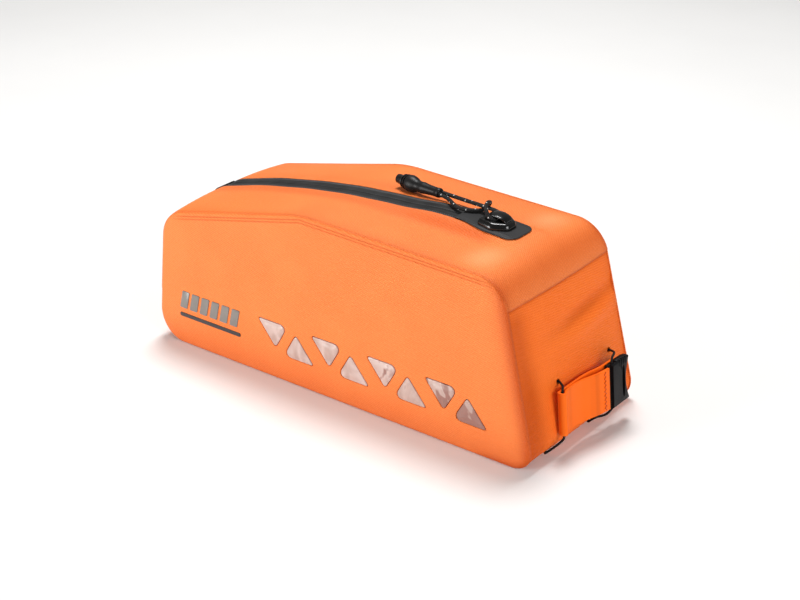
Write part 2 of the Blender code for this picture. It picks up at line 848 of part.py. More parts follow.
def make_pull():
    route = pull_route()
    make_cord("pull_cord", smooth_route(route, 3), PULL_CORD_RADIUS, "pull_cord")
    mouth = (route[0] + route[-1]) / 2.0
    rest_x = mouth.x - GRIP_LENGTH * GRIP_REST_SHARE
    rest = gusset_point(station_at(distance_on_top(rest_x)), mouth.y + GRIP_SWING)
    rest.z += GRIP_RADIUS + TOP_PANEL_PROUD + SKIN_GAP
    way = (rest - mouth).normalized()
    side = way.cross(Vector((0.0, 0.0, 1.0))).normalized()
    up = side.cross(way)
    rings = []
    for share, width in reversed(GRIP_TABLE):
        centre = mouth + way * (SKIN_GAP + GRIP_LENGTH * (1.0 - share))
        rings.append([
            centre + (side * math.cos(angle) + up * math.sin(angle)) * GRIP_RADIUS * width
            for angle in (2.0 * math.pi * k / GRIP_SIDES for k in range(GRIP_SIDES))
        ])
    bm = bmesh.new()
    skin_rings(bm, rings)
    put("pull_grip", bm, "grip_rubber")


def strap_up():
    return Vector((-math.sin(STRAP_LEAN), 0.0, math.cos(STRAP_LEAN)))


def strap_foot_x():
    """X of the strap's back at its lower edge, just clear of the end panel."""
    distance = distance_at_height("end", STRAP_FOOT)
    return gusset_point(station_at(distance), 0.0).x + STRAP_STANDOFF


def strap_point(out, y, up):
    """A point by its distance out from the strap's back, across the bag, and up from its lower edge."""
    return Vector((strap_foot_x() + out, y, STRAP_FOOT)) + strap_up() * up


def sleeve_radius():
    return LACING_RADIUS + LACING_GAP


def strap_line():
    """Centre line of the strap seen from above: front layer, fold round the cord, back layer."""
    back = STRAP_WALL / 2.0
    fold = sleeve_radius() + back
    start = STRAP_LEFT + fold + back
    length = STRAP_RIGHT - start
    closed = STRAP_WALL + SEAM_GAP
    line = [
        Vector((back + closed + (STRAP_SPREAD - closed) * spread, start + length * share))
        for share, spread in FRONT_LAYER
    ]
    for k in range(9):
        angle = math.pi * k / 8.0
        line.append(Vector((back + fold + fold * math.cos(angle), start - fold * math.sin(angle))))
    line += [Vector((back + STRAP_SPREAD * spread, start + length * share)) for share, spread in BACK_LAYER]
    return line


def make_strap():
    line = strap_line()
    last = len(line) - 1
    sides = ([], [])
    for k, point in enumerate(line):
        way = (line[min(k + 1, last)] - line[max(k - 1, 0)]).normalized()
        across = Vector((-way.y, way.x)) * STRAP_WALL / 2.0
        sides[0].append(point + across)
        sides[1].append(point - across)
    section = sides[0] + sides[1][::-1]
    bm = bmesh.new()
    low = [bm.verts.new(strap_point(out, y, 0.0)) for out, y in section]
    high = [bm.verts.new(strap_point(out, y, STRAP_HEIGHT)) for out, y in section]
    count = len(section)
    for k in range(count):
        bm.faces.new((low[k], low[(k + 1) % count], high[(k + 1) % count], high[k]))
    for ring in (low, high):
        for k in range(last):
            bm.faces.new((ring[k], ring[k + 1], ring[count - 2 - k], ring[count - 1 - k]))
    put("strap_loop", bm, "strap_webbing")


def buckle_back():
    """Distance out of the buckle's back, clear of the strap's back layer."""
    return STRAP_WALL + STRAP_SPREAD * BACK_LAYER[-1][1] + SKIN_GAP


def bore_place():
    """Where the far lacing cord runs through the buckle: out and across."""
    return buckle_back() + BUCKLE_THICKNESS / 2.0, STRAP_RIGHT + SKIN_GAP + BUCKLE_WIDTH * BORE_SHARE


def block(name, low, high):
    """A cutter or filler given in strap coordinates: out, across, up."""
    rings = []
    for up in (low[2], high[2]):
        corners = ((low[0], low[1]), (high[0], low[1]), (high[0], high[1]), (low[0], high[1]))
        rings.append([strap_point(out, y, up) for out, y in corners])
    bm = bmesh.new()
    skin_rings(bm, rings)
    return put(name, bm)


def make_buckle():
    left = STRAP_RIGHT + SKIN_GAP
    right = left + BUCKLE_WIDTH
    back = buckle_back()
    front = back + BUCKLE_THICKNESS
    sides = []
    steps = 8
    for k in range(steps + 1):
        share = k / steps
        waist = BUCKLE_WAIST * math.sin(math.pi * share)
        sides.append((right - waist, BUCKLE_HEIGHT * share))
    outline = [(left, 0.0)] + sides + [(left, BUCKLE_HEIGHT)]
    rings = []
    for out, shrink in ((back, 0.0), (front - BUCKLE_EDGE, 0.0), (front, BUCKLE_EDGE)):
        middle_y = (left + right) / 2.0
        ring = []
        for y, up in outline:
            edge_y = y + shrink * (1.0 if y < middle_y else -1.0)
            edge_up = up + shrink * (1.0 - 2.0 * up / BUCKLE_HEIGHT)
            ring.append(strap_point(out, edge_y, edge_up))
        rings.append(ring)
    bm = bmesh.new()
    skin_rings(bm, rings)
    buckle = put("strap_buckle", bm, "buckle_plastic")
    lug_left, lug_right = (left + BUCKLE_WIDTH * share for share in LUG_SPAN)
    lug_low = BUCKLE_HEIGHT - BUCKLE_LUG
    lug_high = BUCKLE_HEIGHT + BUCKLE_LUG
    lug = block("buckle_lug", (back, lug_left, lug_low), (front + BUCKLE_LUG, lug_right, lug_high))
    combine(buckle, lug, "UNION")
    slit_y = left + BUCKLE_WIDTH * SLIT_SHARE
    slit_foot = (BUCKLE_HEIGHT - BUCKLE_SLIT_HEIGHT) / 2.0
    past = BUCKLE_THICKNESS
    slit = block(
        "buckle_slit",
        (back - past, slit_y, slit_foot),
        (front + past, slit_y + BUCKLE_SLIT_WIDTH, slit_foot + BUCKLE_SLIT_HEIGHT),
    )
    combine(buckle, slit, "DIFFERENCE")
    out, y = bore_place()
    bore_foot = strap_point(out, y, -past)
    bore_top = strap_point(out, y, BUCKLE_HEIGHT + past)
    combine(buckle, rod("buckle_bore", bore_foot, bore_top, sleeve_radius()), "DIFFERENCE")


def rod(name, start, stop, radius):
    """A round cutter between two points."""
    way = (stop - start).normalized()
    side = way.orthogonal().normalized()
    other = way.cross(side)
    rings = []
    for centre in (start, stop):
        angles = (2.0 * math.pi * k / 12.0 for k in range(12))
        rings.append([centre + (side * math.cos(a) + other * math.sin(a)) * radius for a in angles])
    bm = bmesh.new()
    skin_rings(bm, rings)
    return put(name, bm)


def end_place(distance, y, out):
    """A point off the strap end's panel, and the way out of it."""
    station = station_at(distance)
    normal = Vector((station[2].x, 0.0, station[2].y))
    return gusset_point(station, y) + normal * out


def make_lacing(panel, name, hole, foot, bore, height, rows):
    """A cord out of one hole, through the bore of what it holds, and back in at the foot.

    The hole and the foot are each a distance round the outline and a place across the bag.
    """
    inside = -3.0 * CLOTH_WALL
    reach = LACING_OUT * 3.0
    for label, place in (("hole", hole), ("foot", foot)):
        start = end_place(*place, inside - reach)
        stop = end_place(*place, reach)
        combine(panel, rod(f"{name}_{label}", start, stop, sleeve_radius()), "DIFFERENCE")
    outs = (inside, -CLOTH_WALL, 0.0, LACING_OUT)
    out, across = bore
    route = [end_place(*hole, depth) for depth in outs]
    for row_out, row_across, share in rows:
        y = across + row_across * MILLIMETRE
        route.append(strap_point(out + row_out * MILLIMETRE, y, height * share))
    route += [end_place(*foot, depth) for depth in reversed(outs)]
    make_cord(name, smooth_route(route, 3), LACING_RADIUS, "lacing_cord")


def make_lacings(panel):
    low = along_run("end foot", FOOT_HOLE_SHARE)
    sleeve = (STRAP_WALL + sleeve_radius(), STRAP_LEFT + STRAP_WALL + sleeve_radius())
    near_hole = (distance_at_height("end", NEAR_HOLE_HEIGHT), NEAR_HOLE_Y)
    near_foot = (low, NEAR_FOOT_Y)
    make_lacing(panel, "lacing_cord_near", near_hole, near_foot, sleeve, STRAP_HEIGHT, SLEEVE_ROUTE)
    far_hole = (distance_at_height("end", FAR_HOLE_HEIGHT), FAR_HOLE_Y)
    far_foot = (low, FAR_FOOT_Y)
    make_lacing(panel, "lacing_cord_far", far_hole, far_foot, bore_place(), BUCKLE_HEIGHT, BUCKLE_ROUTE)


def main():
    clear_scene()
    end_panel = make_gusset()
    for label, side in (("near", -1), ("far", 1)):
        make_side_panel(f"side_panel_{label}", side)
        make_films(label, side)
        make_zip_tape(f"zip_tape_{label}", side)
    slot_start, slot_stop = zip_marks()
    make_end_patch("zip_end_patch", slot_start - PATCH_PAST_ZIP, 1)
    make_end_patch("zip_rear_patch", slot_stop + PATCH_PAST_ZIP, -1)
    make_slider()
    make_pull()
    make_reflective_trim()
    make_strap()
    make_buckle()
    make_lacings(end_panel)


main()
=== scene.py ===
# %% [markdown]
# # Dressing a welded bicycle frame bag
# The bag is a shell of coated cloth, welded from a long top panel, two side panels, an end panel, a rear
# panel and a base. It has a covered zip with a cord pull, milky film windows, and a short strap with a
# buckle. The frame that is loaded first holds all of these as plain solids. Each step below replaces one of
# them with a piece that has the real one's rounded edges, seams, folds and finish, in the same place.

# %% Load the frame
import json
import math

import bmesh
import bpy
import numpy as np
from mathutils import Matrix, Vector
from mathutils.geometry import delaunay_2d_cdt

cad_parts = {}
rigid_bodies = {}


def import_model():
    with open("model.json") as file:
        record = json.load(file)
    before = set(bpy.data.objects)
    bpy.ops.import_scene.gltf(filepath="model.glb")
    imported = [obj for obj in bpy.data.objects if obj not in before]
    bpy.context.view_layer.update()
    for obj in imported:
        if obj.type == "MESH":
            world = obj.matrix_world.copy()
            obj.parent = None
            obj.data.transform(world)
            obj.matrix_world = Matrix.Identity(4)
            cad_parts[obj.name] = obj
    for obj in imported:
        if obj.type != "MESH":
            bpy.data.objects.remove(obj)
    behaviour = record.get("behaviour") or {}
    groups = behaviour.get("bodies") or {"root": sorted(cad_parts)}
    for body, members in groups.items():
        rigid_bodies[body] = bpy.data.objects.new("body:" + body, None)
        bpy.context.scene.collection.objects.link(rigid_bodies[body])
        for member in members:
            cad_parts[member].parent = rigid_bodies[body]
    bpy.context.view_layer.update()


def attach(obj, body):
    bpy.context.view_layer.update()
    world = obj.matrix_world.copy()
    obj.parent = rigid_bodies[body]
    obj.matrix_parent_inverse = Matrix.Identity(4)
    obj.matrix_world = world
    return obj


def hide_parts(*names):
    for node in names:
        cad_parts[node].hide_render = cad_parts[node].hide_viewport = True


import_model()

MM = 0.001

# %% [markdown]
# ## Camera
# The bag is seen from above its near side and its strap end. A long lens some way off keeps the side edges
# almost parallel, as in a picture for a shop. The places were found by matching the bag's corners, so the
# camera is given by its place and two turns, and nothing is aimed by eye.

# %% Camera
CAMERA_PLACE = (0.493, -0.636, 0.430)
CAMERA_PITCH = math.radians(64.0)
CAMERA_TURN = math.radians(37.4)
CAMERA_LENS = 79.07

camera_data = bpy.data.cameras.new("camera")
camera_data.lens = CAMERA_LENS
camera_data.sensor_width = 36.0
camera = bpy.data.objects.new("camera", camera_data)
camera.location = CAMERA_PLACE
camera.rotation_euler = (CAMERA_PITCH, 0.0, CAMERA_TURN)
bpy.context.scene.collection.objects.link(camera)
bpy.context.scene.camera = camera
print("camera lens", camera_data.lens)

# %% [markdown]
# ## Light
# The bag stands on a pale floor that runs out to white. A large soft lamp overhead, a little to the left,
# lights the top and the floor and lays the shadow to the right. A second one, low in front, lights the near
# side but hardly the floor, so a thin shadow stays along the foot. A weak lamp on the right keeps the end
# with the strap in soft shade. The Standard view keeps the strong orange clear.

# %% Lamps
WORLD_LIGHT = 0.23
LAMPS = (
    # name, place, size, watts
    ("overhead", (-0.20, 0.27, 1.08), 0.42, 11.8),
    ("front", (-0.75, -1.32, 0.25), 0.80, 23.5),
    ("right", (1.35, -0.25, 0.60), 0.70, 10.5),
)


def aim(thing, target):
    """Turn a lamp so that it shines at the target."""
    way = Vector(target) - thing.location
    thing.rotation_euler = way.to_track_quat("-Z", "Y").to_euler()


def light_scene():
    scene = bpy.context.scene
    scene.view_settings.view_transform = "Standard"
    world = bpy.data.worlds.new("studio")
    world.use_nodes = True
    world.node_tree.nodes["Background"].inputs["Color"].default_value = (1.0, 0.985, 0.97, 1.0)
    world.node_tree.nodes["Background"].inputs["Strength"].default_value = WORLD_LIGHT
    scene.world = world
    for name, place, size, watts in LAMPS:
        data = bpy.data.lights.new(name, "AREA")
        data.shape = "DISK"
        data.size = size
        data.energy = watts
        lamp = bpy.data.objects.new(name, data)
        lamp.location = place
        aim(lamp, (0.0, 0.0, 0.04))
        scene.collection.objects.link(lamp)


light_scene()
print("lamps", len(LAMPS))

# %% [markdown]
# ## Node helpers
# Every finish is a small tree of shader nodes. A few helpers keep the trees short: one adds a node and fills
# its inputs with numbers or with other nodes' outputs, others add a sum, a wave, a noise or a ramp, and one
# starts a group whose sockets have names. Effects that several finishes share, such as the weave, are groups,
# built once and placed in each finish with its own values.

# %% Node helpers
def add_node(tree, kind, inputs=(), **settings):
    """Add a node; inputs is a dict of socket names or numbers, each with a value or another socket."""
    node = tree.nodes.new(kind)
    for name, value in settings.items():
        setattr(node, name, value)
    for name, value in dict(inputs).items():
        if isinstance(value, bpy.types.NodeSocket):
            tree.links.new(value, node.inputs[name])
        else:
            node.inputs[name].default_value = value
    return node


def sum_node(tree, operation, first, second=0.0, third=None):
    """Add a math node and return its output."""
    inputs = {0: first, 1: second}
    if third is not None:
        inputs[2] = third
    return add_node(tree, "ShaderNodeMath", inputs, operation=operation).outputs[0]


print("basic node helpers ready")

# %% Waves, noise and groups
def wave_node(tree, value, turn):
    """Add a cosine wave along a value; turn is its angle for each metre."""
    return sum_node(tree, "COSINE", sum_node(tree, "MULTIPLY", value, turn))


def noise_node(tree, place, scale, detail, roughness=0.5, distortion=0.0):
    """Add a cloudy noise and return its strength at each place."""
    return add_node(tree, "ShaderNodeTexNoise", {
        "Vector": place, "Scale": scale, "Detail": detail, "Roughness": roughness, "Distortion": distortion,
    }).outputs["Fac"]


def ramp_node(tree, value, low, high, top=1.0):
    """Rise evenly from 0 where the value is low to top where it is high."""
    return add_node(tree, "ShaderNodeMapRange", {0: value, 1: low, 2: high, 3: 0.0, 4: top}).outputs[0]


def object_place(tree):
    return add_node(tree, "ShaderNodeTexCoord").outputs["Object"]


def flat_map(tree):
    """The map, in metres, of the flat drawing that a piece was made from."""
    return add_node(tree, "ShaderNodeUVMap", uv_map="cloth").outputs["UV"]


def start_group(name, number, value, outputs):
    """Start a node group that reads a map and one named number and puts out named numbers."""
    group = bpy.data.node_groups.new(name, "ShaderNodeTree")
    group.interface.new_socket(name="Map", in_out="INPUT", socket_type="NodeSocketVector")
    socket = group.interface.new_socket(name=number, in_out="INPUT", socket_type="NodeSocketFloat")
    socket.default_value = value
    for label in outputs:
        group.interface.new_socket(name=label, in_out="OUTPUT", socket_type="NodeSocketFloat")
    return group, group.nodes.new("NodeGroupInput").outputs, group.nodes.new("NodeGroupOutput").inputs


def use_group(tree, group, inputs):
    """Place a group in a tree with its own values and return its outputs."""
    return add_node(tree, "ShaderNodeGroup", inputs, node_tree=group).outputs


print("node helpers ready")

# %% [markdown]
# ## Shared effects
# The cloth is a coated twill: under the skin of plastic the threads show as rows of small slanted bumps.
# Two crossed cosine waves give that relief on the piece's own map, which is laid out in metres, so the
# threads keep one size on every panel. A slow noise makes the colour a little uneven, a fine noise grains
# the rubber and plastic, and two slanted waves make a cord's braid.

# %% Shared effects
FULL_TURN = 2.0 * math.pi
WARP_LEAN = 0.42
WEFT_LEAN = -0.18
WEFT_COUNT = 1.13


def make_weave_group():
    group, given, result = start_group("twill_relief", "Pitch", 0.0013, ["Height"])
    place = add_node(group, "ShaderNodeSeparateXYZ", {"Vector": given["Map"]}).outputs
    turn = sum_node(group, "DIVIDE", FULL_TURN, given["Pitch"])
    warp = sum_node(group, "MULTIPLY_ADD", place["Y"], WARP_LEAN, place["X"])
    weft = sum_node(group, "MULTIPLY_ADD", place["X"], WEFT_LEAN, place["Y"])
    along = wave_node(group, warp, turn)
    across = wave_node(group, weft, sum_node(group, "MULTIPLY", turn, WEFT_COUNT))
    dots = sum_node(group, "MULTIPLY", along, across)
    uneven = noise_node(group, given["Map"], sum_node(group, "DIVIDE", 1.05, given["Pitch"]), 1.0)
    ripple = sum_node(group, "MULTIPLY_ADD", uneven, 2.2, -1.1)
    rows = sum_node(group, "MULTIPLY_ADD", along, 0.30, sum_node(group, "MULTIPLY", dots, 0.60))
    mixed = sum_node(group, "ADD", rows, sum_node(group, "MULTIPLY", ripple, 0.35))
    group.links.new(sum_node(group, "MULTIPLY_ADD", mixed, 0.5, 0.5), result["Height"])
    return group


def make_mottle_group():
    group, given, result = start_group("slow_mottle", "Scale", 35.0, ["Shade"])
    noise = noise_node(group, given["Map"], given["Scale"], 3.0, 0.55)
    group.links.new(ramp_node(group, noise, 0.35, 0.65), result["Shade"])
    return group


def make_grain_group():
    group, given, result = start_group("fine_grain", "Scale", 2500.0, ["Height", "Shade"])
    slow = noise_node(group, given["Map"], sum_node(group, "DIVIDE", given["Scale"], 18.0), 2.0)
    group.links.new(noise_node(group, given["Map"], given["Scale"], 2.0, 0.6), result["Height"])
    group.links.new(slow, result["Shade"])
    return group


TWILL = make_weave_group()
MOTTLE = make_mottle_group()
GRAIN = make_grain_group()
print("groups", [group.name for group in bpy.data.node_groups])

# %% Braid
BRAID_STRANDS = 4.0
FLECKS_PER_METRE = 235.0
FLECK_SHIFT = 0.1


def make_braid_group():
    """The map's X is metres along the cord, and its Y is the share of the way round it."""
    group, given, result = start_group("braid_relief", "Pitch", 0.0016, ["Height", "Fleck"])
    place = add_node(group, "ShaderNodeSeparateXYZ", {"Vector": given["Map"]}).outputs
    along = sum_node(group, "DIVIDE", place["X"], given["Pitch"])
    strands = sum_node(group, "MULTIPLY", place["Y"], BRAID_STRANDS)
    left = wave_node(group, sum_node(group, "ADD", along, strands), FULL_TURN)
    right = wave_node(group, sum_node(group, "SUBTRACT", along, strands), FULL_TURN)
    crossed = sum_node(group, "MULTIPLY", left, right)
    group.links.new(sum_node(group, "MULTIPLY_ADD", crossed, 0.5, 0.5), result["Height"])
    count = sum_node(group, "MULTIPLY_ADD", place["X"], FLECKS_PER_METRE, FLECK_SHIFT)
    offset = sum_node(group, "MULTIPLY", sum_node(group, "FLOOR", count), 0.37)
    turned = sum_node(group, "ADD", sum_node(group, "MULTIPLY", place["Y"], 2.0), offset)
    short = sum_node(group, "LESS_THAN", sum_node(group, "FRACT", count), 0.11)
    narrow = sum_node(group, "LESS_THAN", sum_node(group, "FRACT", turned), 0.22)
    group.links.new(sum_node(group, "MULTIPLY", short, narrow), result["Fleck"])
    return group


BRAID = make_braid_group()
print("braid", BRAID.name)

# %% [markdown]
# ## Finishes
# Each finish is one material. The cloth mixes a deeper and a lighter orange by the weave and the mottle, and
# its bump comes from the weave. Each sheet also carries a number on its points, called fold, that paints
# light
# into the colour: above 0 it mixes in a painted shade orange in creases, dents, seams and beside the zip,
# with dark seam and weld lines, and below 0 a painted highlight orange on crests. The constant numbers, such
# as the gloss, are set straight on the shader. The rubber, plastic and cord finishes use the grain and the
# braid in the same way.

# %% Finish helpers
def start_finish(name, roughness, specular=0.5, coat=0.0, coat_roughness=0.2):
    material = bpy.data.materials.new(name)
    material.use_nodes = True
    shader = material.node_tree.nodes["Principled BSDF"].inputs
    shader["Roughness"].default_value = roughness
    shader["Specular IOR Level"].default_value = specular
    shader["Coat Weight"].default_value = coat
    shader["Coat Roughness"].default_value = coat_roughness
    return material, material.node_tree, shader


def mix_colours(tree, share, low, high):
    """Mix two colours, each of three numbers or another node's output."""
    mix = add_node(tree, "ShaderNodeMix", {0: share}, data_type="RGBA")
    for socket, colour in ((mix.inputs[6], low), (mix.inputs[7], high)):
        if isinstance(colour, bpy.types.NodeSocket):
            tree.links.new(colour, socket)
        else:
            socket.default_value = (*colour, 1.0)
    return mix.outputs[2]


def bump(tree, shader, height, distance, strength=1.0):
    node = add_node(tree, "ShaderNodeBump", {"Height": height, "Distance": distance, "Strength": strength})
    tree.links.new(node.outputs["Normal"], shader["Normal"])


print("finish helpers ready")

# %% Cloth
# Painted shade and painted highlight colours, mixed into the cloth by each point's fold number.
PAINTED_SHADE_ORANGE = (0.52, 0.070, 0.002)
PAINTED_HIGHLIGHT_ORANGE = (1.00, 0.420, 0.180)
MOTTLE_SHARE = 0.08
CLOTHS = (
    # name, colour between the threads, colour on them, pitch, relief, roughness, turn in degrees, specular
    ("shell_cloth", (0.69, 0.100, 0.008), (1.00, 0.300, 0.072), 0.00110, 0.00024, 0.50, -55.0, 0.26),
    # The end is the shell cloth again, its colours set apart to match the end in the lamps' shade: a shaded
    # copy.
    ("end_cloth", (0.80, 0.105, 0.008), (0.99, 0.232, 0.030), 0.00125, 0.00016, 0.52, 30.0, 0.12),
    ("strap_webbing", (0.90, 0.135, 0.004), (0.98, 0.165, 0.008), 0.0007, 0.00003, 0.46, 45.0, 0.12),
    ("stitch_thread", (0.50, 0.060, 0.004), (0.70, 0.100, 0.008), 0.0004, 0.00002, 0.50, 0.0, 0.30),
)


def make_cloth(name, low, high, pitch, relief, roughness, turn, specular):
    """Coated twill, with painted shade in its folds and seams and a painted highlight on its crests."""
    material, tree, shader = start_finish(name, roughness, specular, 0.0, 0.3)
    turned = add_node(tree, "ShaderNodeMapping", {
        "Vector": flat_map(tree), "Rotation": (0.0, 0.0, math.radians(turn))}).outputs[0]
    weave = use_group(tree, TWILL, {"Map": turned, "Pitch": pitch})["Height"]
    mottle = use_group(tree, MOTTLE, {"Map": object_place(tree), "Scale": 42.0})["Shade"]
    threads = sum_node(tree, "MULTIPLY", weave, 1.0 - MOTTLE_SHARE)
    share = sum_node(tree, "MULTIPLY_ADD", mottle, MOTTLE_SHARE, threads)
    # The fold attribute is painted light: above 0 it mixes in the painted shade orange, below 0 the painted
    # highlight orange.
    fold = add_node(tree, "ShaderNodeAttribute", attribute_name="fold").outputs["Fac"]
    colour = mix_colours(tree, fold, mix_colours(tree, share, low, high), PAINTED_SHADE_ORANGE)
    colour = mix_colours(tree, sum_node(tree, "MULTIPLY", fold, -1.0), colour, PAINTED_HIGHLIGHT_ORANGE)
    tree.links.new(colour, shader["Base Color"])
    tree.links.new(sum_node(tree, "MULTIPLY_ADD", weave, -0.10, roughness + 0.08), shader["Roughness"])
    bump(tree, shader, weave, relief)
    return material


FINISH = {}
for row in CLOTHS:
    FINISH[row[0]] = make_cloth(*row)
print("cloths", len(CLOTHS))

# %% Rubber, plastic and print
MOULDED = (
    # name, dark, light, roughness, grains in a metre, their depth, coat, coat roughness, specular
    ("slider_gloss", (0.002, 0.002, 0.002), (0.004, 0.004, 0.004), 0.20, 900.0, 0.00001, 0.35, 0.08, 0.30),
    ("grip_rubber", (0.004, 0.004, 0.004), (0.009, 0.009, 0.009), 0.42, 2200.0, 0.00002, 0.0, 0.3, 0.22),
    ("buckle_plastic", (0.004, 0.004, 0.004), (0.010, 0.010, 0.011), 0.44, 2400.0, 0.00003, 0.0, 0.3, 0.10),
    ("reflective_trim", (0.15, 0.135, 0.12), (0.22, 0.20, 0.18), 0.34, 1800.0, 0.00002, 0.0, 0.2, 0.50),
    ("bar_trim", (0.018, 0.015, 0.015), (0.034, 0.029, 0.029), 0.45, 1800.0, 0.00002, 0.0, 0.2, 0.50),
)


def make_moulded(name, low, high, roughness, grain_scale, grain_depth, coat, coat_roughness, specular):
    """Moulded rubber or plastic with a fine grain and a slightly uneven gloss."""
    material, tree, shader = start_finish(name, roughness, specular, coat, coat_roughness)
    grain = use_group(tree, GRAIN, {"Map": object_place(tree), "Scale": grain_scale})
    tree.links.new(mix_colours(tree, grain["Shade"], low, high), shader["Base Color"])
    rough = sum_node(tree, "MULTIPLY_ADD", grain["Shade"], 0.14, roughness - 0.07)
    tree.links.new(rough, shader["Roughness"])
    bump(tree, shader, grain["Height"], grain_depth)
    return material


for row in MOULDED:
    FINISH[row[0]] = make_moulded(*row)
print("moulded finishes", len(MOULDED))

# %% Cords
FLECK_GREY = (0.62, 0.62, 0.60)
CORDS = (
    # name, dark, light, braid pitch, relief, has flecks
    ("pull_cord", (0.004, 0.004, 0.004), (0.020, 0.020, 0.021), 0.0017, 0.00014, True),
    ("lacing_cord", (0.004, 0.004, 0.004), (0.012, 0.012, 0.013), 0.0011, 0.00006, False),
)


def make_cord_finish(name, dark, light, pitch, depth, flecks):
    material, tree, shader = start_finish(name, 0.6, 0.16)
    braid = use_group(tree, BRAID, {"Map": flat_map(tree), "Pitch": pitch})
    colour = mix_colours(tree, braid["Height"], dark, light)
    if flecks:
        colour = mix_colours(tree, braid["Fleck"], colour, FLECK_GREY)
    tree.links.new(colour, shader["Base Color"])
    bump(tree, shader, braid["Height"], depth)
    return material


for row in CORDS:
    FINISH[row[0]] = make_cord_finish(*row)
print("cord finishes", len(CORDS))

# %% Film
FILM_PINKS = ((0.43, 0.285, 0.240), (0.58, 0.430, 0.385))
FILM_INSIDE_SHADE = (0.250, 0.105, 0.080)
CREASE_SLANT = math.radians(28.0)


def make_film():
    """Opaque milky film: pale pink over the empty bag, with painted shade of the bag's inside in creased
    shapes towards the strap end and low down.
    """
    material, tree, shader = start_finish("window_film", 0.34, 0.45, 0.2, 0.2)
    place = object_place(tree)
    parts = add_node(tree, "ShaderNodeSeparateXYZ", {"Vector": place}).outputs
    turned = add_node(tree, "ShaderNodeMapping", {
        "Vector": place, "Rotation": (0.0, CREASE_SLANT, 0.0), "Scale": (1.7, 1.0, 1.0)}).outputs[0]
    folds = noise_node(tree, turned, 62.0, 2.0, 0.45, 0.9)
    # Painted shade of the bag's inside, growing towards the strap end and low down.
    toward_end = ramp_node(tree, parts["X"], 0.020, 0.090, 0.74)
    low_down = ramp_node(tree, parts["Z"], 0.030, 0.016, 0.30)
    inside_shade = sum_node(tree, "ADD", toward_end, sum_node(tree, "MULTIPLY", low_down, toward_end))
    edge = sum_node(tree, "MULTIPLY_ADD", folds, 2.6, sum_node(tree, "SUBTRACT", inside_shade, 1.72))
    pale = mix_colours(tree, ramp_node(tree, folds, 0.35, 0.65), *FILM_PINKS)
    colour = mix_colours(tree, ramp_node(tree, edge, 0.02, 0.16, 0.9), pale, FILM_INSIDE_SHADE)
    tree.links.new(colour, shader["Base Color"])
    bump(tree, shader, noise_node(tree, place, 230.0, 2.0), 0.0003, 0.6)
    return material


FINISH["window_film"] = make_film()
print("film", FINISH["window_film"].name)

# %% Zip
RIB_PITCH = 0.00118
TOOTH_PITCH = 0.0014
RIB_SLANT = 0.45
RIB_RELIEF = 0.00022
ZIP_FINISHES = (
    # name, dark, light, place and size of the ribbed bead, half width of the toothed centre
    ("zip_tape", (0.005, 0.005, 0.005), (0.075, 0.075, 0.077), 0.0053, 0.0014, 0.0009),
    ("patch_rubber", (0.020, 0.020, 0.021), (0.038, 0.038, 0.039), 0.0070, 0.0004, 0.00001),
)


def make_zip_finish(name, low, high, bead_at, bead_size, centre):
    """Ribbed rubber: the map's X is metres along the zip and its Y is metres out from the middle."""
    material, tree, shader = start_finish(name, 0.50, 0.20)
    layout = flat_map(tree)
    parts = add_node(tree, "ShaderNodeSeparateXYZ", {"Vector": layout}).outputs
    across = sum_node(tree, "ABSOLUTE", parts["Y"])
    slant = sum_node(tree, "MULTIPLY_ADD", across, RIB_SLANT, parts["X"])
    off_bead = sum_node(tree, "ABSOLUTE", sum_node(tree, "SUBTRACT", across, bead_at))
    bead = ramp_node(tree, off_bead, bead_size, bead_size * 0.6)
    middle = ramp_node(tree, across, centre, centre * 0.5)
    ribs = sum_node(tree, "MULTIPLY_ADD", wave_node(tree, slant, FULL_TURN / RIB_PITCH), 0.5, 0.5)
    teeth = sum_node(tree, "MULTIPLY_ADD", wave_node(tree, parts["X"], FULL_TURN / TOOTH_PITCH), 0.5, 0.5)
    slit = ramp_node(tree, across, 0.0003, 0.0008)
    tooth_part = sum_node(tree, "MULTIPLY", sum_node(tree, "MULTIPLY", middle, teeth), slit)
    height = sum_node(tree, "ADD", sum_node(tree, "MULTIPLY", bead, ribs), tooth_part)
    grain = use_group(tree, GRAIN, {"Map": layout, "Scale": 2600.0})
    share = sum_node(tree, "MULTIPLY_ADD", grain["Shade"], 0.35, sum_node(tree, "MULTIPLY", height, 0.65))
    tree.links.new(mix_colours(tree, share, low, high), shader["Base Color"])
    tree.links.new(sum_node(tree, "MULTIPLY_ADD", height, -0.12, 0.54), shader["Roughness"])
    bump(tree, shader, sum_node(tree, "MULTIPLY_ADD", grain["Height"], 0.15, height), RIB_RELIEF)
    return material


for row in ZIP_FINISHES:
    FINISH[row[0]] = make_zip_finish(*row)
print("zip finishes", len(ZIP_FINISHES))

# %% Floor finish
FLOOR_TONES = ((0.80, 0.795, 0.785), (0.82, 0.815, 0.805))


def make_floor_finish():
    material, tree, shader = start_finish("floor", 0.75, 0.2)
    mottle = use_group(tree, MOTTLE, {"Map": object_place(tree), "Scale": 6.0})["Shade"]
    tree.links.new(mix_colours(tree, mottle, *FLOOR_TONES), shader["Base Color"])
    return material


FINISH["floor"] = make_floor_finish()
print("finishes", len(FINISH))

# %% [markdown]
# ## The floor
# One large flat grid, so that it is seen but isn't part of the bag.

# %% Floor
floor_bm = bmesh.new()
bmesh.ops.create_grid(floor_bm, x_segments=2, y_segments=2, size=6.0)
floor_mesh = bpy.data.meshes.new("floor")
floor_bm.to_mesh(floor_mesh)
floor_bm.free()
floor = bpy.data.objects.new("floor", floor_mesh)
floor_mesh.materials.append(FINISH["floor"])
bpy.context.scene.collection.objects.link(floor)
print("floor", floor.dimensions[:])

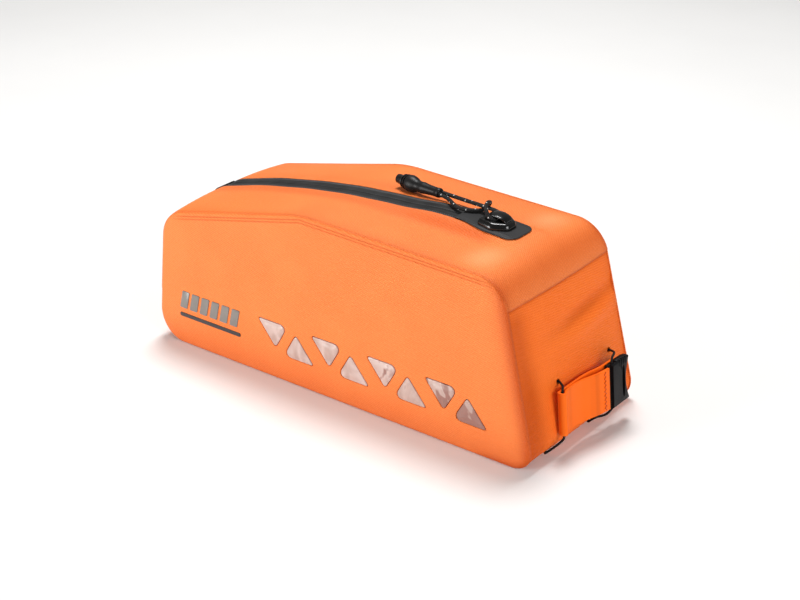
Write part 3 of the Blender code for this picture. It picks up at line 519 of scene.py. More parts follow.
# %% [markdown]
# ## From a flat sheet to a piece
# Cloth is cut flat and then laid on the bag. The pieces here are made the same way: a grid or an outline is
# drawn flat, in metres, and its points are then moved to where they lie. The flat drawing becomes the
# piece's map, so the weave follows the cloth round every corner, and the fold number rides on the points.

# %% Objects from a bmesh
def smooth_by_angle(piece, angle=40.0):
    piece.data.shade_smooth()
    piece.data.set_sharp_from_angle(angle=math.radians(angle))


def put_piece(name, bm, finish_name, nodes=(), outward=None, angle=40.0):
    """Turn a bmesh into a piece that rides on the bag; outward is the way that an open sheet faces."""
    bmesh.ops.recalc_face_normals(bm, faces=bm.faces)
    if outward is not None:
        total = sum((face.normal * face.calc_area() for face in bm.faces), Vector())
        if total.dot(Vector(outward)) < 0.0:
            bmesh.ops.reverse_faces(bm, faces=bm.faces)
    mesh = bpy.data.meshes.new(name)
    bm.to_mesh(mesh)
    bm.free()
    piece = bpy.data.objects.new(name, mesh)
    bpy.context.scene.collection.objects.link(piece)
    mesh.materials.append(FINISH[finish_name])
    smooth_by_angle(piece, angle)
    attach(piece, "root")
    if nodes:
        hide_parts(*nodes)
    return piece


print("putting pieces ready")

# %% Walls, rounded edges and cuts
PANEL_ANGLE = 60.0
HARD_ANGLE = 50.0
SIDES = (("near", -1.0), ("far", 1.0))


def thicken(piece, wall, offset=-1.0):
    change = piece.modifiers.new("wall", "SOLIDIFY")
    change.thickness = wall
    change.offset = offset


def round_edges(piece, width, segments, angle=50.0):
    change = piece.modifiers.new("edges", "BEVEL")
    change.width = width
    change.segments = segments
    change.limit_method = "ANGLE"
    change.angle_limit = math.radians(angle)


def settle(piece, angle=40.0):
    """Apply a piece's modifiers to its mesh."""
    evaluated = piece.evaluated_get(bpy.context.evaluated_depsgraph_get())
    mesh = bpy.data.meshes.new_from_object(evaluated)
    old = piece.data
    piece.modifiers.clear()
    piece.data = mesh
    bpy.data.meshes.remove(old)
    mesh.name = piece.name
    smooth_by_angle(piece, angle)


def put_walled(name, bm, finish_name, nodes, outward, wall, angle=40.0):
    """Put an open sheet in its place and give it its wall inwards."""
    piece = put_piece(name, bm, finish_name, nodes, outward, angle=angle)
    thicken(piece, wall)
    settle(piece, angle)
    return piece


def carve(piece, bm, operation="DIFFERENCE", angle=40.0):
    """Cut a closed bmesh out of a piece, or join it to the piece."""
    bmesh.ops.recalc_face_normals(bm, faces=bm.faces)
    mesh = bpy.data.meshes.new("cutter")
    bm.to_mesh(mesh)
    bm.free()
    cutter = bpy.data.objects.new("cutter", mesh)
    bpy.context.scene.collection.objects.link(cutter)
    change = piece.modifiers.new("carve", "BOOLEAN")
    change.object = cutter
    change.operation = operation
    change.solver = "EXACT"
    settle(piece, angle)
    bpy.data.objects.remove(cutter)
    bpy.data.meshes.remove(mesh)


print("object helpers ready")

# %% Sheets
def ease(value):
    """Rise softly from 0 to 1."""
    share = np.clip(value, 0.0, 1.0)
    return share * share * (3.0 - 2.0 * share)


def bell(gap, width):
    """1 where the gap is 0, falling softly to almost 0 at two widths."""
    return np.exp(-(gap / width) ** 2)


def grid_of(*parts):
    """Stretch rows and columns to one grid of places."""
    return np.stack(np.broadcast_arrays(*parts), axis=-1)


def both_sides(half):
    """Columns from the middle out, mirrored to the other side."""
    return np.concatenate([-half[:0:-1], half])


def sheet_of(flat, places, skipped=None, fold=None):
    """A grid whose points lie at places and whose map is flat; both are arrays of rows and columns."""
    rows, columns = flat.shape[:2]
    bm = bmesh.new()
    bmesh.ops.create_grid(bm, x_segments=rows - 1, y_segments=columns - 1, size=1.0)
    layer = bm.loops.layers.uv.new("cloth")
    # The fold layer holds each point's painted shade and dark seam lines above 0, and painted highlight below
    # 0.
    mark = bm.verts.layers.float.new("fold")
    cells = {}
    for vert in bm.verts:
        row = round((vert.co.x + 1.0) / 2.0 * (rows - 1))
        cells[vert] = (row, round((vert.co.y + 1.0) / 2.0 * (columns - 1)))
    gone = []
    for face in bm.faces:
        for loop in face.loops:
            loop[layer].uv = flat[cells[loop.vert]][:2]
        if skipped is not None and skipped[tuple(np.min([cells[vert] for vert in face.verts], axis=0))]:
            gone.append(face)
    for vert, cell in cells.items():
        vert.co = places[cell]
        vert[mark] = 0.0 if fold is None else fold[cell]
    bmesh.ops.delete(bm, geom=gone, context="FACES")
    return bm


def lay(bm, wrap, fold=None):
    """Keep the flat drawing as the map, then move its points to where wrap puts them."""
    layer = bm.loops.layers.uv.new("cloth")
    # The fold layer holds each point's painted shade and dark seam lines above 0, and painted highlight below
    # 0.
    mark = bm.verts.layers.float.new("fold")
    for face in bm.faces:
        for loop in face.loops:
            loop[layer].uv = loop.vert.co.xy
    flat = np.array([vert.co for vert in bm.verts])
    deep = np.zeros(len(flat)) if fold is None else fold(flat)
    for vert, place, value in zip(bm.verts, wrap(flat), deep):
        vert.co = place
        vert[mark] = value


print("sheet helpers ready")

# %% Outlines
CAP_SIDES = 400


def corner_turn(before, here, after):
    return (Vector(here[:2]) - Vector(before[:2])).angle(Vector(after[:2]) - Vector(here[:2]))


def rounded_face(bm, corners, detail=0.0004):
    """A flat face from corners of x, y and radius, each rounded by a vertex bevel."""
    verts = [bm.verts.new((x, y, 0.0)) for x, y, _ in corners]
    face = bm.faces.new(verts)
    for k, vert in enumerate(verts):
        turn = corner_turn(corners[k - 1], corners[k], corners[(k + 1) % len(corners)])
        radius = corners[k][2]
        cut = bmesh.ops.bevel(
            bm, geom=[vert], offset=radius * math.tan(turn / 2.0), offset_type="OFFSET",
            segments=max(3, round(radius * turn / detail)), profile=0.5, affect="VERTICES", material=-1,
        )
        face = cut["verts"][0].link_faces[0]
    return face


def grown(corners, by):
    """The same corners with every side moved out."""
    moved = []
    for k, (x, y, radius) in enumerate(corners):
        before, after = corners[k - 1], corners[(k + 1) % len(corners)]
        here = Vector((x, y))
        first = (here - Vector(before[:2])).normalized()
        last = (here - Vector(after[:2])).normalized()
        out = (first + last).normalized()
        half = first.angle(-last)
        moved.append((*(here + out * by / math.cos(half / 2.0)), max(radius + by, 0.0004)))
    return moved


def step_in(bm, face, width, above):
    """Inset a face and set the height of what is left of it."""
    bmesh.ops.inset_region(bm, faces=[face], thickness=width, use_boundary=True, use_even_offset=True)
    for vert in face.verts:
        vert.co.z = above


def stepped_pad(corners, detail, foot, rings):
    """A rounded outline, stepped in and up ring by ring; returns the drawing and its last face."""
    bm = bmesh.new()
    face = rounded_face(bm, corners, detail)
    for vert in face.verts:
        vert.co.z = foot
    for inset, above in rings:
        step_in(bm, face, inset, above)
    return bm, face


def close_holes(bm):
    """Put a face on every open ring of edges."""
    bmesh.ops.holes_fill(bm, edges=[edge for edge in bm.edges if edge.is_boundary], sides=CAP_SIDES)


print("rounded outlines ready")

# %% Filling a drawing
def line_gaps(corners, x, y):
    """Distance of points inwards from each side of an anticlockwise outline."""
    gaps = []
    for k, (cx, cy, _) in enumerate(corners):
        nx, ny, _ = corners[(k + 1) % len(corners)]
        way = Vector((nx - cx, ny - cy)).normalized()
        gaps.append((x - cx) * -way.y + (y - cy) * way.x)
    return gaps


def fill_flat(bm, rim, holes, spacing, is_free):
    """Fill from a rim to its holes with even triangles, which bend better than one large face."""
    rings = [rim, *holes]
    verts = [vert for ring in rings for vert in ring]
    owner = {vert: k for k, ring in enumerate(rings) for vert in ring}
    index = {vert: k for k, vert in enumerate(verts)}
    drawn = [edge.verts for edge in bm.edges if all(vert in index for vert in edge.verts)]
    edges = [[index[vert] for vert in pair] for pair in drawn]
    flat = np.array([vert.co.xy for vert in rim])
    low, high = flat.min(axis=0), flat.max(axis=0)
    x, y = np.meshgrid(np.arange(low[0], high[0], spacing), np.arange(low[1], high[1], spacing * 0.866))
    x = x + (np.arange(len(x)) % 2)[:, None] * spacing / 2.0
    kept = is_free(x, y)
    for place in zip(x[kept], y[kept]):
        verts.append(bm.verts.new((*place, rim[0].co.z)))
    made = delaunay_2d_cdt([vert.co.xy for vert in verts], edges, [], 1, 1e-7)
    for corners in made[2]:
        used = [verts[made[3][k][0]] for k in corners]
        rings_met = {owner.get(vert, -1) for vert in used}
        if len(rings_met) > 1 or min(rings_met) < 1:
            bm.faces.new(used)


print("fill helpers ready")

# %% Curves and tubes
def smooth_curve(points, steps):
    """Points on a smooth curve through the given ones."""
    whole = []
    last = len(points) - 1
    for k in range(last):
        a, b, c, d = (Vector(points[min(max(k + shift, 0), last)]) for shift in (-1, 0, 1, 2))
        for step in range(steps):
            t = step / steps
            whole.append(
                (b * 2.0 + (c - a) * t + (a * 2.0 - b * 5.0 + c * 4.0 - d) * t ** 2
                 + (b * 3.0 - a - c * 3.0 + d) * t ** 3) / 2.0
            )
    whole.append(Vector(points[last]))
    return whole


def tube_along(points, radius, sides):
    """A closed tube round a route, with metres along it and the share round it as its map."""
    side = None
    last = len(points) - 1
    run = 0.0
    angles = np.linspace(0.0, FULL_TURN, sides + 1)
    flat = np.zeros((last + 1, sides + 1, 2))
    places = np.zeros((last + 1, sides + 1, 3))
    for k, point in enumerate(points):
        way = (points[min(k + 1, last)] - points[max(k - 1, 0)]).normalized()
        side = way.orthogonal().normalized() if side is None else (side - way * side.dot(way)).normalized()
        up = way.cross(side)
        run += (point - points[k - 1]).length if k else 0.0
        flat[k, :, 0] = run
        flat[k, :, 1] = angles / FULL_TURN
        around = np.outer(np.cos(angles), side) + np.outer(np.sin(angles), up)
        places[k] = np.array(point) + around * radius
    bm = sheet_of(flat, places)
    bmesh.ops.remove_doubles(bm, verts=bm.verts, dist=radius * 0.02)
    close_holes(bm)
    return bm, run


print("outline helpers ready")

# %% [markdown]
# ## The outline that everything follows
# Seen from the side, the bag is five straight edges with rounded corners. The gusset, the cloth between the
# two sides, runs right round it, so its pieces are drawn by two numbers: how far round the outline a point
# is, and how far across the bag. The functions below turn those two into a place.

# %% The outline
SIDE_CORNERS = (
    # name, x, z, radius
    ("rear foot", -0.1200, 0.0000, 0.016),
    ("end foot", 0.1200, 0.0000, 0.010),
    ("end top", 0.0975, 0.0912, 0.019),
    ("kink", -0.0220, 0.0932, 0.070),
    ("rear top", -0.1145, 0.0715, 0.017),
)
RUN_AFTER = {"rear foot": "base", "end foot": "end", "end top": "top", "kink": "rise", "rear top": "rear"}
KINK_HEIGHT = 0.0932
HALF_WIDTH = 0.0448
SIDE_LEAN = 0.0030


def corner_arc(k):
    """Where one corner's arc starts, its centre, its first outward normal and its turn."""
    _, x, z, radius = SIDE_CORNERS[k]
    here = Vector((x, z))
    before = (here - Vector(SIDE_CORNERS[k - 1][1:3])).normalized()
    after = (Vector(SIDE_CORNERS[(k + 1) % len(SIDE_CORNERS)][1:3]) - here).normalized()
    turn = math.acos(before.dot(after))
    first = Vector((before.y, -before.x))
    centre = here - before * radius * math.tan(turn / 2.0) - first * radius
    return centre, first, turn, radius


def trace_side(step):
    """Rows of distance, x, z and normal round the outline from the base's rear end, and its named runs."""
    count = len(SIDE_CORNERS)
    rows = []
    runs = {}
    distance = 0.0
    for k in range(count):
        name = SIDE_CORNERS[k][0]
        centre, first, turn, radius = corner_arc(k)
        normal = Matrix.Rotation(turn, 2) @ first
        leave = centre + normal * radius
        next_centre, next_first, next_turn, next_radius = corner_arc((k + 1) % count)
        arrive = next_centre + next_first * next_radius
        length = (arrive - leave).length
        pieces = max(2, round(length / step))
        for piece in range(pieces):
            place = leave.lerp(arrive, piece / pieces)
            rows.append((distance + length * piece / pieces, *place, *normal))
        runs[RUN_AFTER[name]] = (distance, distance + length)
        distance += length
        arc = next_radius * next_turn
        pieces = max(6, round(arc / step))
        for piece in range(pieces):
            way = Matrix.Rotation(next_turn * piece / pieces, 2) @ next_first
            rows.append((distance + arc * piece / pieces, *(next_centre + way * next_radius), *way))
        runs[SIDE_CORNERS[(k + 1) % count][0]] = (distance, distance + arc)
        distance += arc
    rows.append((distance, *rows[0][1:]))
    return np.array(rows), runs, distance


TRACE, RUNS, ROUND_LENGTH = trace_side(MM)
print("outline", round(ROUND_LENGTH, 4))

# %% Places round the outline
def outline_at(distance):
    """x, z and normal at a distance round the outline; works on one number or on an array."""
    where = np.mod(distance, ROUND_LENGTH)
    x, z, nx, nz = (np.interp(where, TRACE[:, 0], TRACE[:, k]) for k in (1, 2, 3, 4))
    size = np.hypot(nx, nz)
    return x, z, nx / size, nz / size


def along_run(run, share):
    start, stop = RUNS[run]
    return start + (stop - start) * share


def distance_at_height(run, height):
    low = outline_at(RUNS[run][0])[1]
    high = outline_at(RUNS[run][1] - 1e-7)[1]
    return along_run(run, (height - low) / (high - low))


def distance_on_top(x):
    low = outline_at(RUNS["top"][0])[0]
    high = outline_at(RUNS["top"][1] - 1e-7)[0]
    return along_run("top", (x - low) / (high - low))


def half_width(z):
    return HALF_WIDTH - SIDE_LEAN * z / KINK_HEIGHT


print("runs", {name: round(stop - start, 4) for name, (start, stop) in RUNS.items()})

# %% [markdown]
# ## The crown of the gusset
# The cloth doesn't lie flat between the sides. It swells along the middle, most of all under the zip near the
# strap end, where a stiff zip holds up a narrow ridge with a steep slope beside it. A short table gives the
# lift of the middle line and how much of it is ridge rather than broad arch, and both are blurred along the
# way so that one stretch runs softly into the next.

# %% Lift and ridge round the bag
CROWN_LIFT = 0.0046
RIDGE_START = 0.0073
RIDGE_SLOPE = 0.0085
INSET = 0.0002
CROWN_BLUR = 6
CROWN_ROWS = (
    # run, share of the run, share of the lift, share of ridge
    ("base", 1.00, 0.00, 0.0),
    ("end foot", 1.00, 0.14, 0.0),
    ("end", 0.35, 0.34, 0.0),
    ("end", 0.75, 0.26, 0.0),
    ("end top", 0.30, 0.34, 0.1),
    ("end top", 1.00, 0.66, 0.5),
    ("top", 0.20, 0.95, 1.0),
    ("top", 0.50, 1.00, 1.0),
    ("top", 0.75, 0.42, 0.8),
    ("kink", 0.50, -0.12, 0.0),
    ("rise", 0.30, 0.42, 0.0),
    ("rise", 0.65, 0.66, 0.0),
    ("rise", 1.00, 0.50, 0.0),
    ("rear top", 1.00, 0.32, 0.0),
    ("rear", 0.50, 0.22, 0.0),
    ("rear foot", 1.00, 0.00, 0.0),
)


def crown_samples():
    """Lift and ridge at every millimetre round the outline."""
    marks = [along_run(run, share) for run, share, _, _ in CROWN_ROWS]
    places = np.arange(0.0, ROUND_LENGTH, MM)
    window = np.exp(-0.5 * (np.arange(-3 * CROWN_BLUR, 3 * CROWN_BLUR + 1) / CROWN_BLUR) ** 2)
    window /= window.sum()
    samples = [places]
    for column in (2, 3):
        values = np.empty(len(places))
        for k, place in enumerate(places):
            after = next((n for n, mark in enumerate(marks) if place <= mark), 0)
            share = ease((place - marks[after - 1]) / (marks[after] - marks[after - 1])) if after else 0.0
            low, high = CROWN_ROWS[after - 1][column], CROWN_ROWS[after][column]
            values[k] = low + (high - low) * share if after else 0.0
        samples.append(np.convolve(values, window, mode="same"))
    return samples


CROWN_AT, LIFTS, RIDGES = crown_samples()
print("highest crown", round(float(LIFTS.max()) * CROWN_LIFT, 5))

# %% The crown
def crown(distance, y, z):
    """How far the gusset stands off the outline, without its seams and dents."""
    where = np.mod(distance, ROUND_LENGTH)
    lift = np.interp(where, CROWN_AT, LIFTS)
    ridge = np.interp(where, CROWN_AT, RIDGES)
    across = np.abs(y)
    arch = 1.0 - np.maximum(across - RIDGE_START, 0.0) ** 2 / (half_width(z) - RIDGE_START) ** 2
    steep = 1.0 - ease((across - RIDGE_START) / RIDGE_SLOPE)
    narrow = 0.16 * arch + 0.84 * steep
    base_stop = RUNS["base"][1]
    rear_foot = RUNS["rear foot"]
    off_base = np.minimum(
        ease((where - base_stop) / (RUNS["end foot"][1] - base_stop)),
        ease((ROUND_LENGTH - where) / (rear_foot[1] - rear_foot[0])),
    )
    return CROWN_LIFT * lift * (arch + (narrow - arch) * ridge) - INSET * off_base


def on_gusset(distance, y, above=0.0):
    """A place on the gusset, by distance round the outline and place across the bag."""
    x, z, nx, nz = outline_at(distance)
    off = crown(distance, y, z) + above
    return grid_of(x + nx * off, y, z + nz * off)


print("middle of the top", [round(float(value), 4) for value in on_gusset(along_run("top", 0.5), 0.0)])

# %% [markdown]
# ## The top panel
# One long piece of cloth comes over the end's top corner, runs along the top and down the rise to the rear.
# It is slit for the zip. A grid is bent over the crown, finer beside the slit where the slope is steep, and
# its edges dip where they are welded to the next panel. The fold number paints shade in the seams, beside the
# zip and over the end's corner, and below 0 paints a highlight on the crest just behind that corner.
# Solidify then gives the cloth its thickness inwards.

# %% Places on the gusset
CLOTH_WALL = 0.0012
TAPE_HALF = 0.0068
SEAM_GAP = 0.0003
SEAM_DIP = 0.0003
SEAM_REACH = 0.0016
SEAM_TUCK = 0.0002
TOP_PROUD = 0.0005
SLOT = TAPE_HALF + SEAM_GAP
BASE_SETBACK = 0.006
END_SEAM = distance_at_height("end", 0.0774)
REAR_SEAM = distance_at_height("rear", 0.027)
ZIP_START = distance_on_top(0.070)
ZIP_STOP = distance_at_height("rear", 0.048)


def spread(*marks, step):
    """Values from mark to mark, evenly spaced between them, with one on each mark."""
    values = [np.array(marks[:1])]
    for low, high in zip(marks, marks[1:]):
        values.append(np.linspace(low, high, max(1, round((high - low) / step)) + 1)[1:])
    return np.concatenate(values)


def dip(gap, depth=SEAM_DIP, reach=SEAM_REACH):
    """How far cloth goes down into a seam, by its distance from the seam."""
    return -depth * (1.0 - np.clip(gap / reach, 0.0, 1.0)) ** 2


print("zip", round(ZIP_START, 4), "to", round(ZIP_STOP, 4))

# %% Painted shade, highlight and seam lines on the gusset
SHADE_AND_SEAM_MOST = 0.9
PAINTED_HIGHLIGHT_MOST = -0.6
DENT_DEEP = 0.0018


def zip_painted_shade(where, out, y):
    """Painted shade beside the zip: on the ridge's slope, stronger on the near side, and where the cloth
    meets the tape.
    """
    ridge = np.interp(where, CROWN_AT, RIDGES)
    lift = np.clip(np.interp(where, CROWN_AT, LIFTS), 0.0, 1.0)
    slope = bell(out - RIDGE_START - 0.0042, 0.0036) * ridge * lift
    band = ease((out - 0.0066) / 0.001) * (1.0 - ease((out - 0.0115) / 0.007)) * np.where(y < 0.0, 1.0, 0.45)
    ends = ease((where - ZIP_START + 0.004) / 0.012) * ease((ZIP_STOP - where) / 0.05)
    return 0.28 * slope + 0.38 * band * ends


def end_painted_shade_and_highlight(where, out, y, gap):
    """Painted shade over the end's corner and down the end's near edge, less a painted highlight on the crest
    behind the corner.
    """
    corner = bell(where - along_run("end top", 0.42), 0.0070)
    low = ease((distance_at_height("end", 0.055) - where) / 0.035)
    near = ease((along_run("end top", 0.1) - where) / 0.01) * (y < 0.0)
    edge = near * (1.0 + 0.5 * low) * bell(gap - 0.004, 0.006 + 0.004 * low)
    crest = bell(where - along_run("end top", 1.0) - 0.006, 0.008) * bell(out - 0.027, 0.011)
    return 0.50 * corner + 0.50 * edge - 0.42 * crest


def gusset_painted_light_and_seams(distance, y, gap):
    """Share of painted shade and dark seam lines on the gusset; below 0 it is a painted highlight."""
    where = np.mod(distance, ROUND_LENGTH)
    out = np.abs(y)
    # A dark seam line right at the edge, and painted shade where the cloth dips into the seam.
    seam = 0.42 * bell(gap, 0.0007) + 0.20 * bell(gap, 0.0045)
    # A dark line at the end seam: painted shadow under the overlapping edge.
    joint = 0.85 * bell(where - END_SEAM, 0.0004)
    total = seam + joint + zip_painted_shade(where, out, y) + end_painted_shade_and_highlight(where, out, y, gap)
    return np.clip(total, PAINTED_HIGHLIGHT_MOST, SHADE_AND_SEAM_MOST)


def gusset_sheet(distances, half_columns, proud, skipped=None, dents=None):
    """Cloth between the sides; half_columns are places from the middle out to the edge."""
    edge = half_width(outline_at(distances)[1]) + SEAM_TUCK
    y = np.outer(edge / edge.max(), both_sides(half_columns))
    gap = edge[:, None] - np.abs(y)
    distance = np.broadcast_to(distances[:, None], y.shape)
    above = proud + dip(gap)
    for mark in (distances[0], distances[-1]):
        above = above + dip(np.abs(distance - mark), SEAM_DIP * 0.6, SEAM_REACH * 0.6)
    fold = gusset_painted_light_and_seams(distance, y, gap)
    if dents is not None:
        dent = dents(distance, y)
        above = above + dent
        # Painted shade in the valleys of the dents.
        fold = np.clip(fold + 0.45 * np.clip(-dent / DENT_DEEP, 0.0, 1.0), 0.0, SHADE_AND_SEAM_MOST)
    return sheet_of(np.stack([-distance, y], axis=-1), on_gusset(distance, y, above), skipped, fold)


print("fold at the end seam", round(float(gusset_painted_light_and_seams(END_SEAM, 0.0, 0.04)), 2))

# %% Top panel
WIDEST = HALF_WIDTH + SEAM_TUCK
TOP_COLUMNS = np.concatenate([
    [0.0], spread(SLOT, RIDGE_START, RIDGE_START + RIDGE_SLOPE, step=0.0006),
    spread(RIDGE_START + RIDGE_SLOPE, WIDEST - 0.003, WIDEST, step=0.0014)[1:-1],
    spread(WIDEST - 0.0021, WIDEST, step=0.0003),
])
TOP_ROWS = spread(END_SEAM, ZIP_START, ZIP_STOP, REAR_SEAM, step=0.0012)


def top_slot():
    """Which cells of the grid are left open for the zip."""
    columns = both_sides(TOP_COLUMNS)
    inside = np.abs(columns[:-1] + columns[1:]) / 2.0 < SLOT
    middle = (TOP_ROWS[:-1] + TOP_ROWS[1:]) / 2.0
    return inside[None, :] & ((middle > ZIP_START) & (middle < ZIP_STOP))[:, None]


top_sheet = gusset_sheet(TOP_ROWS, TOP_COLUMNS, TOP_PROUD, top_slot())
top_panel = put_walled(
    "top_panel_cloth", top_sheet, "shell_cloth", ["top_panel"], (0.0, 0.0, 1.0), CLOTH_WALL, PANEL_ANGLE)
print("top panel", len(top_panel.data.polygons), [round(value, 4) for value in top_panel.dimensions])

# %% [markdown]
# ## The end, the rear and the base
# The end panel is the same cloth, turned in under the foot. It was folded flat before it was sold, so soft
# dents run across it, each a shallow valley or ridge given by its height, its place across, its size, its
# slant and its depth. Four holes let the lacing cords through.

# %% End, rear and base panels
END_DENTS = (
    # height, y, half length, half width, slant, depth
    (0.0590, 0.017, 0.026, 0.0040, 0.09, -0.0018),
    (0.0520, 0.020, 0.024, 0.0042, 0.09, 0.0014),
    (0.0400, -0.034, 0.005, 0.0300, 0.00, -0.0011),
    (0.0180, 0.036, 0.010, 0.0100, 0.20, -0.0009),
)
PLAIN_COLUMNS = np.concatenate([
    spread(0.0, WIDEST - 0.003, WIDEST, step=0.0014)[:-2], spread(WIDEST - 0.0021, WIDEST, step=0.0003)])
BASE_STOP = along_run("base", 1.0) - BASE_SETBACK
END_START = BASE_STOP + SEAM_GAP
PLAIN_PANELS = (
    # node, where it starts and stops round the outline, step, way it faces
    ("rear_panel", REAR_SEAM + SEAM_GAP, ROUND_LENGTH + BASE_SETBACK, 0.0014, (-1.0, 0.0, 0.0)),
    ("base_panel", BASE_SETBACK + SEAM_GAP, BASE_STOP, 0.003, (0.0, 0.0, -1.0)),
)


def end_dents(distance, y):
    total = 0.0
    for height, middle, length, width, slant, depth in END_DENTS:
        along = distance - distance_at_height("end", height) - (y - middle) * slant
        total = total + depth * bell(along, width) * bell(y - middle, length)
    return total


end_sheet = gusset_sheet(
    spread(END_START, END_SEAM - SEAM_GAP, step=0.0012), PLAIN_COLUMNS, 0.0, dents=end_dents)
# The end panel wears the shaded copy of the shell cloth.
end_panel = put_walled(
    "end_panel_cloth", end_sheet, "end_cloth", ["strap_end_panel"], (1.0, 0.0, 0.0), CLOTH_WALL, PANEL_ANGLE)
for node, start, stop, step, outward in PLAIN_PANELS:
    sheet = gusset_sheet(spread(start, stop, step=step), PLAIN_COLUMNS, 0.0)
    panel = put_walled(f"{node}_cloth", sheet, "shell_cloth", [node], outward, CLOTH_WALL, PANEL_ANGLE)
    print(node, len(panel.data.polygons))
print("end", len(end_panel.data.polygons))

# %% [markdown]
# ## The side panels
# Each side is one cut of cloth with a soft rolled rim, welded to the gusset all round. Fine pressed lines
# from the weld run beside the top edge. The face is drawn flat: a polygon whose corners are rounded, inset
# again and again for the rim, with the windows cut out and their edges turned in. It is then laid over the
# slightly domed side, and Solidify gives it a wall. The rim carries painted shade, stronger on the near side,
# as it is on the real one.

# %% Shape of the sides
RIM_EDGE = 0.0005
RIM_HEIGHT = 0.0018
RIM_ROUND = 0.0030
DOME_RISE = 0.0011
DOME_REACH = 0.030
WELD_DEPTHS = (0.0020, 0.0034)
WELD_SIZE = 0.00030
WELD_PRESS = 0.00030
OUTLINE = [corner[1:] for corner in SIDE_CORNERS]


def depth_in(x, z):
    """Distance from points on a side panel to the panel's outline."""
    depth = np.min(line_gaps(OUTLINE, x, z), axis=0)
    for k in range(len(OUTLINE)):
        centre, first, turn, radius = corner_arc(k)
        last = Matrix.Rotation(turn, 2) @ first
        rx, rz = x - centre.x, z - centre.y
        inside = (first.x * rz >= first.y * rx) & (rx * last.y >= rz * last.x)
        depth = np.where(inside, np.minimum(depth, radius - np.hypot(rx, rz)), depth)
    return np.maximum(depth, 0.0)


def edge_bands(x, z):
    """On a side: the gap to its foot, the gap to its strap end, and how strongly the weld lines show."""
    gaps = line_gaps(OUTLINE, x, z)
    from_top = np.minimum(gaps[2], gaps[3])
    beside = np.min([gaps[0], gaps[1], gaps[4]], axis=0)
    weld = sum(bell(from_top - place, WELD_SIZE) for place in WELD_DEPTHS)
    return gaps[0], gaps[1], weld * ease((beside - 0.004) / 0.012)


def skin_out(x, z):
    """Height of a side's outer face over its inner plane: rolled rim, broad dome and weld lines."""
    depth = depth_in(x, z)
    share = 1.0 - np.clip(depth / RIM_ROUND, 0.0, 1.0)
    rim = RIM_EDGE + (RIM_HEIGHT - RIM_EDGE) * np.sqrt(1.0 - share * share)
    dome = DOME_RISE * np.sin(math.pi / 2.0 * np.clip(depth / DOME_REACH, 0.0, 1.0))
    return rim + dome - WELD_PRESS * edge_bands(x, z)[2]


def side_painted_shade_and_welds(flat, side):
    """Painted shade at the rim's edge and round the strap end, dark weld lines, and darker low down."""
    x, z, _ = flat.T
    depth = depth_in(x, z)
    from_foot, from_end, weld = edge_bands(x, z)
    # Painted shade on the rim's rolled edge and at the strap end, much stronger on the near side.
    rim = (0.13 - 0.12 * side) * bell(depth, 0.0009) + (0.45 - 0.40 * side) * bell(from_end, 0.0050)
    # Painted shade round the near side's rounded strap end.
    round_end = 0.62 * ease((x - 0.080) / 0.020) * bell(depth, 0.0034) * (side < 0.0)
    # Darker towards the foot.
    low = 0.38 * bell(from_foot, 0.012)
    return np.clip(np.maximum(rim, round_end) + low + 0.66 * weld, 0.0, SHADE_AND_SEAM_MOST)


def on_side(side, flat):
    """Places on a side from rows of x, height and how far above its face."""
    x, z, above = flat.T
    return np.stack([x, side * (half_width(z) + skin_out(x, z) + above), z], axis=-1)


print("side", round(float(skin_out(np.array([0.0]), np.array([0.045]))[0]), 5))

# %% Windows
WINDOW_WIDTH = 0.0202
WINDOW_DROP = 0.0142
WINDOW_DROP_AT = 0.0120
WINDOW_FIRST = -0.0487
WINDOW_PITCH = 0.0351
WINDOW_STEP = 0.0373
WINDOW_TOP = 0.0320
WINDOW_FOOT = 0.0150
WINDOW_RADII = (0.0011, 0.0016, 0.0033)
WINDOW_COUNT = 8
WINDOW_RINGS = (
    # inset, height
    (0.0005, -0.00004), (0.0002, -0.00014), (0.00012, -0.00030), (0.00006, -0.00050), (0.00002, -0.0015),
)


def window_corners(index):
    """Even windows hang from their tip, odd ones stand on it."""
    pair, lower = divmod(index, 2)
    sign = -1.0 if lower else 1.0
    x = WINDOW_FIRST + WINDOW_PITCH * pair + WINDOW_STEP * lower
    z = WINDOW_FOOT if lower else WINDOW_TOP
    tip, low, wide = WINDOW_RADII
    return (
        (x, z, tip),
        (x + WINDOW_DROP_AT * sign, z - WINDOW_DROP * sign, low),
        (x + WINDOW_WIDTH * sign, z, wide),
    )


print("first window", [round(value, 4) for value in window_corners(0)[0]])

# %% Side panels
SIDE_WALL = 0.0010
RIM_RINGS = np.concatenate([
    [0.00003], spread(0.0003, 0.0012, step=0.0003), spread(0.00145, 0.0042, step=0.00025),
    spread(0.0048, 0.0080, step=0.0008)])


def clear_of_windows(x, z):
    clear = depth_in(x, z) > RIM_RINGS[-1] + 0.0012
    for index in range(WINDOW_COUNT):
        clear &= np.min(line_gaps(window_corners(index), x, z), axis=0) < -0.0020
    return clear


def draw_side():
    """The side as a flat drawing, with its height above the face as the third number."""
    bm = bmesh.new()
    face = rounded_face(bm, OUTLINE, 0.0011)
    for edge in list(face.edges):
        bmesh.ops.bisect_edges(bm, edges=[edge], cuts=max(0, round(edge.calc_length() / 0.0022) - 1))
    for vert in face.verts:
        vert.co.z = -RIM_EDGE
    depth = 0.0
    for ring in RIM_RINGS:
        step_in(bm, face, float(ring - depth), 0.0)
        depth = ring
    rim = list(face.verts)
    inner = [face]
    holes = []
    start = sum(width for width, _ in WINDOW_RINGS)
    for index in range(WINDOW_COUNT):
        face = rounded_face(bm, grown(window_corners(index), start), 0.0003)
        holes.append(list(face.verts))
        for width, above in WINDOW_RINGS:
            step_in(bm, face, width, above)
        inner.append(face)
    bmesh.ops.delete(bm, geom=inner, context="FACES_ONLY")
    fill_flat(bm, rim, holes, 0.0028, clear_of_windows)
    return bm


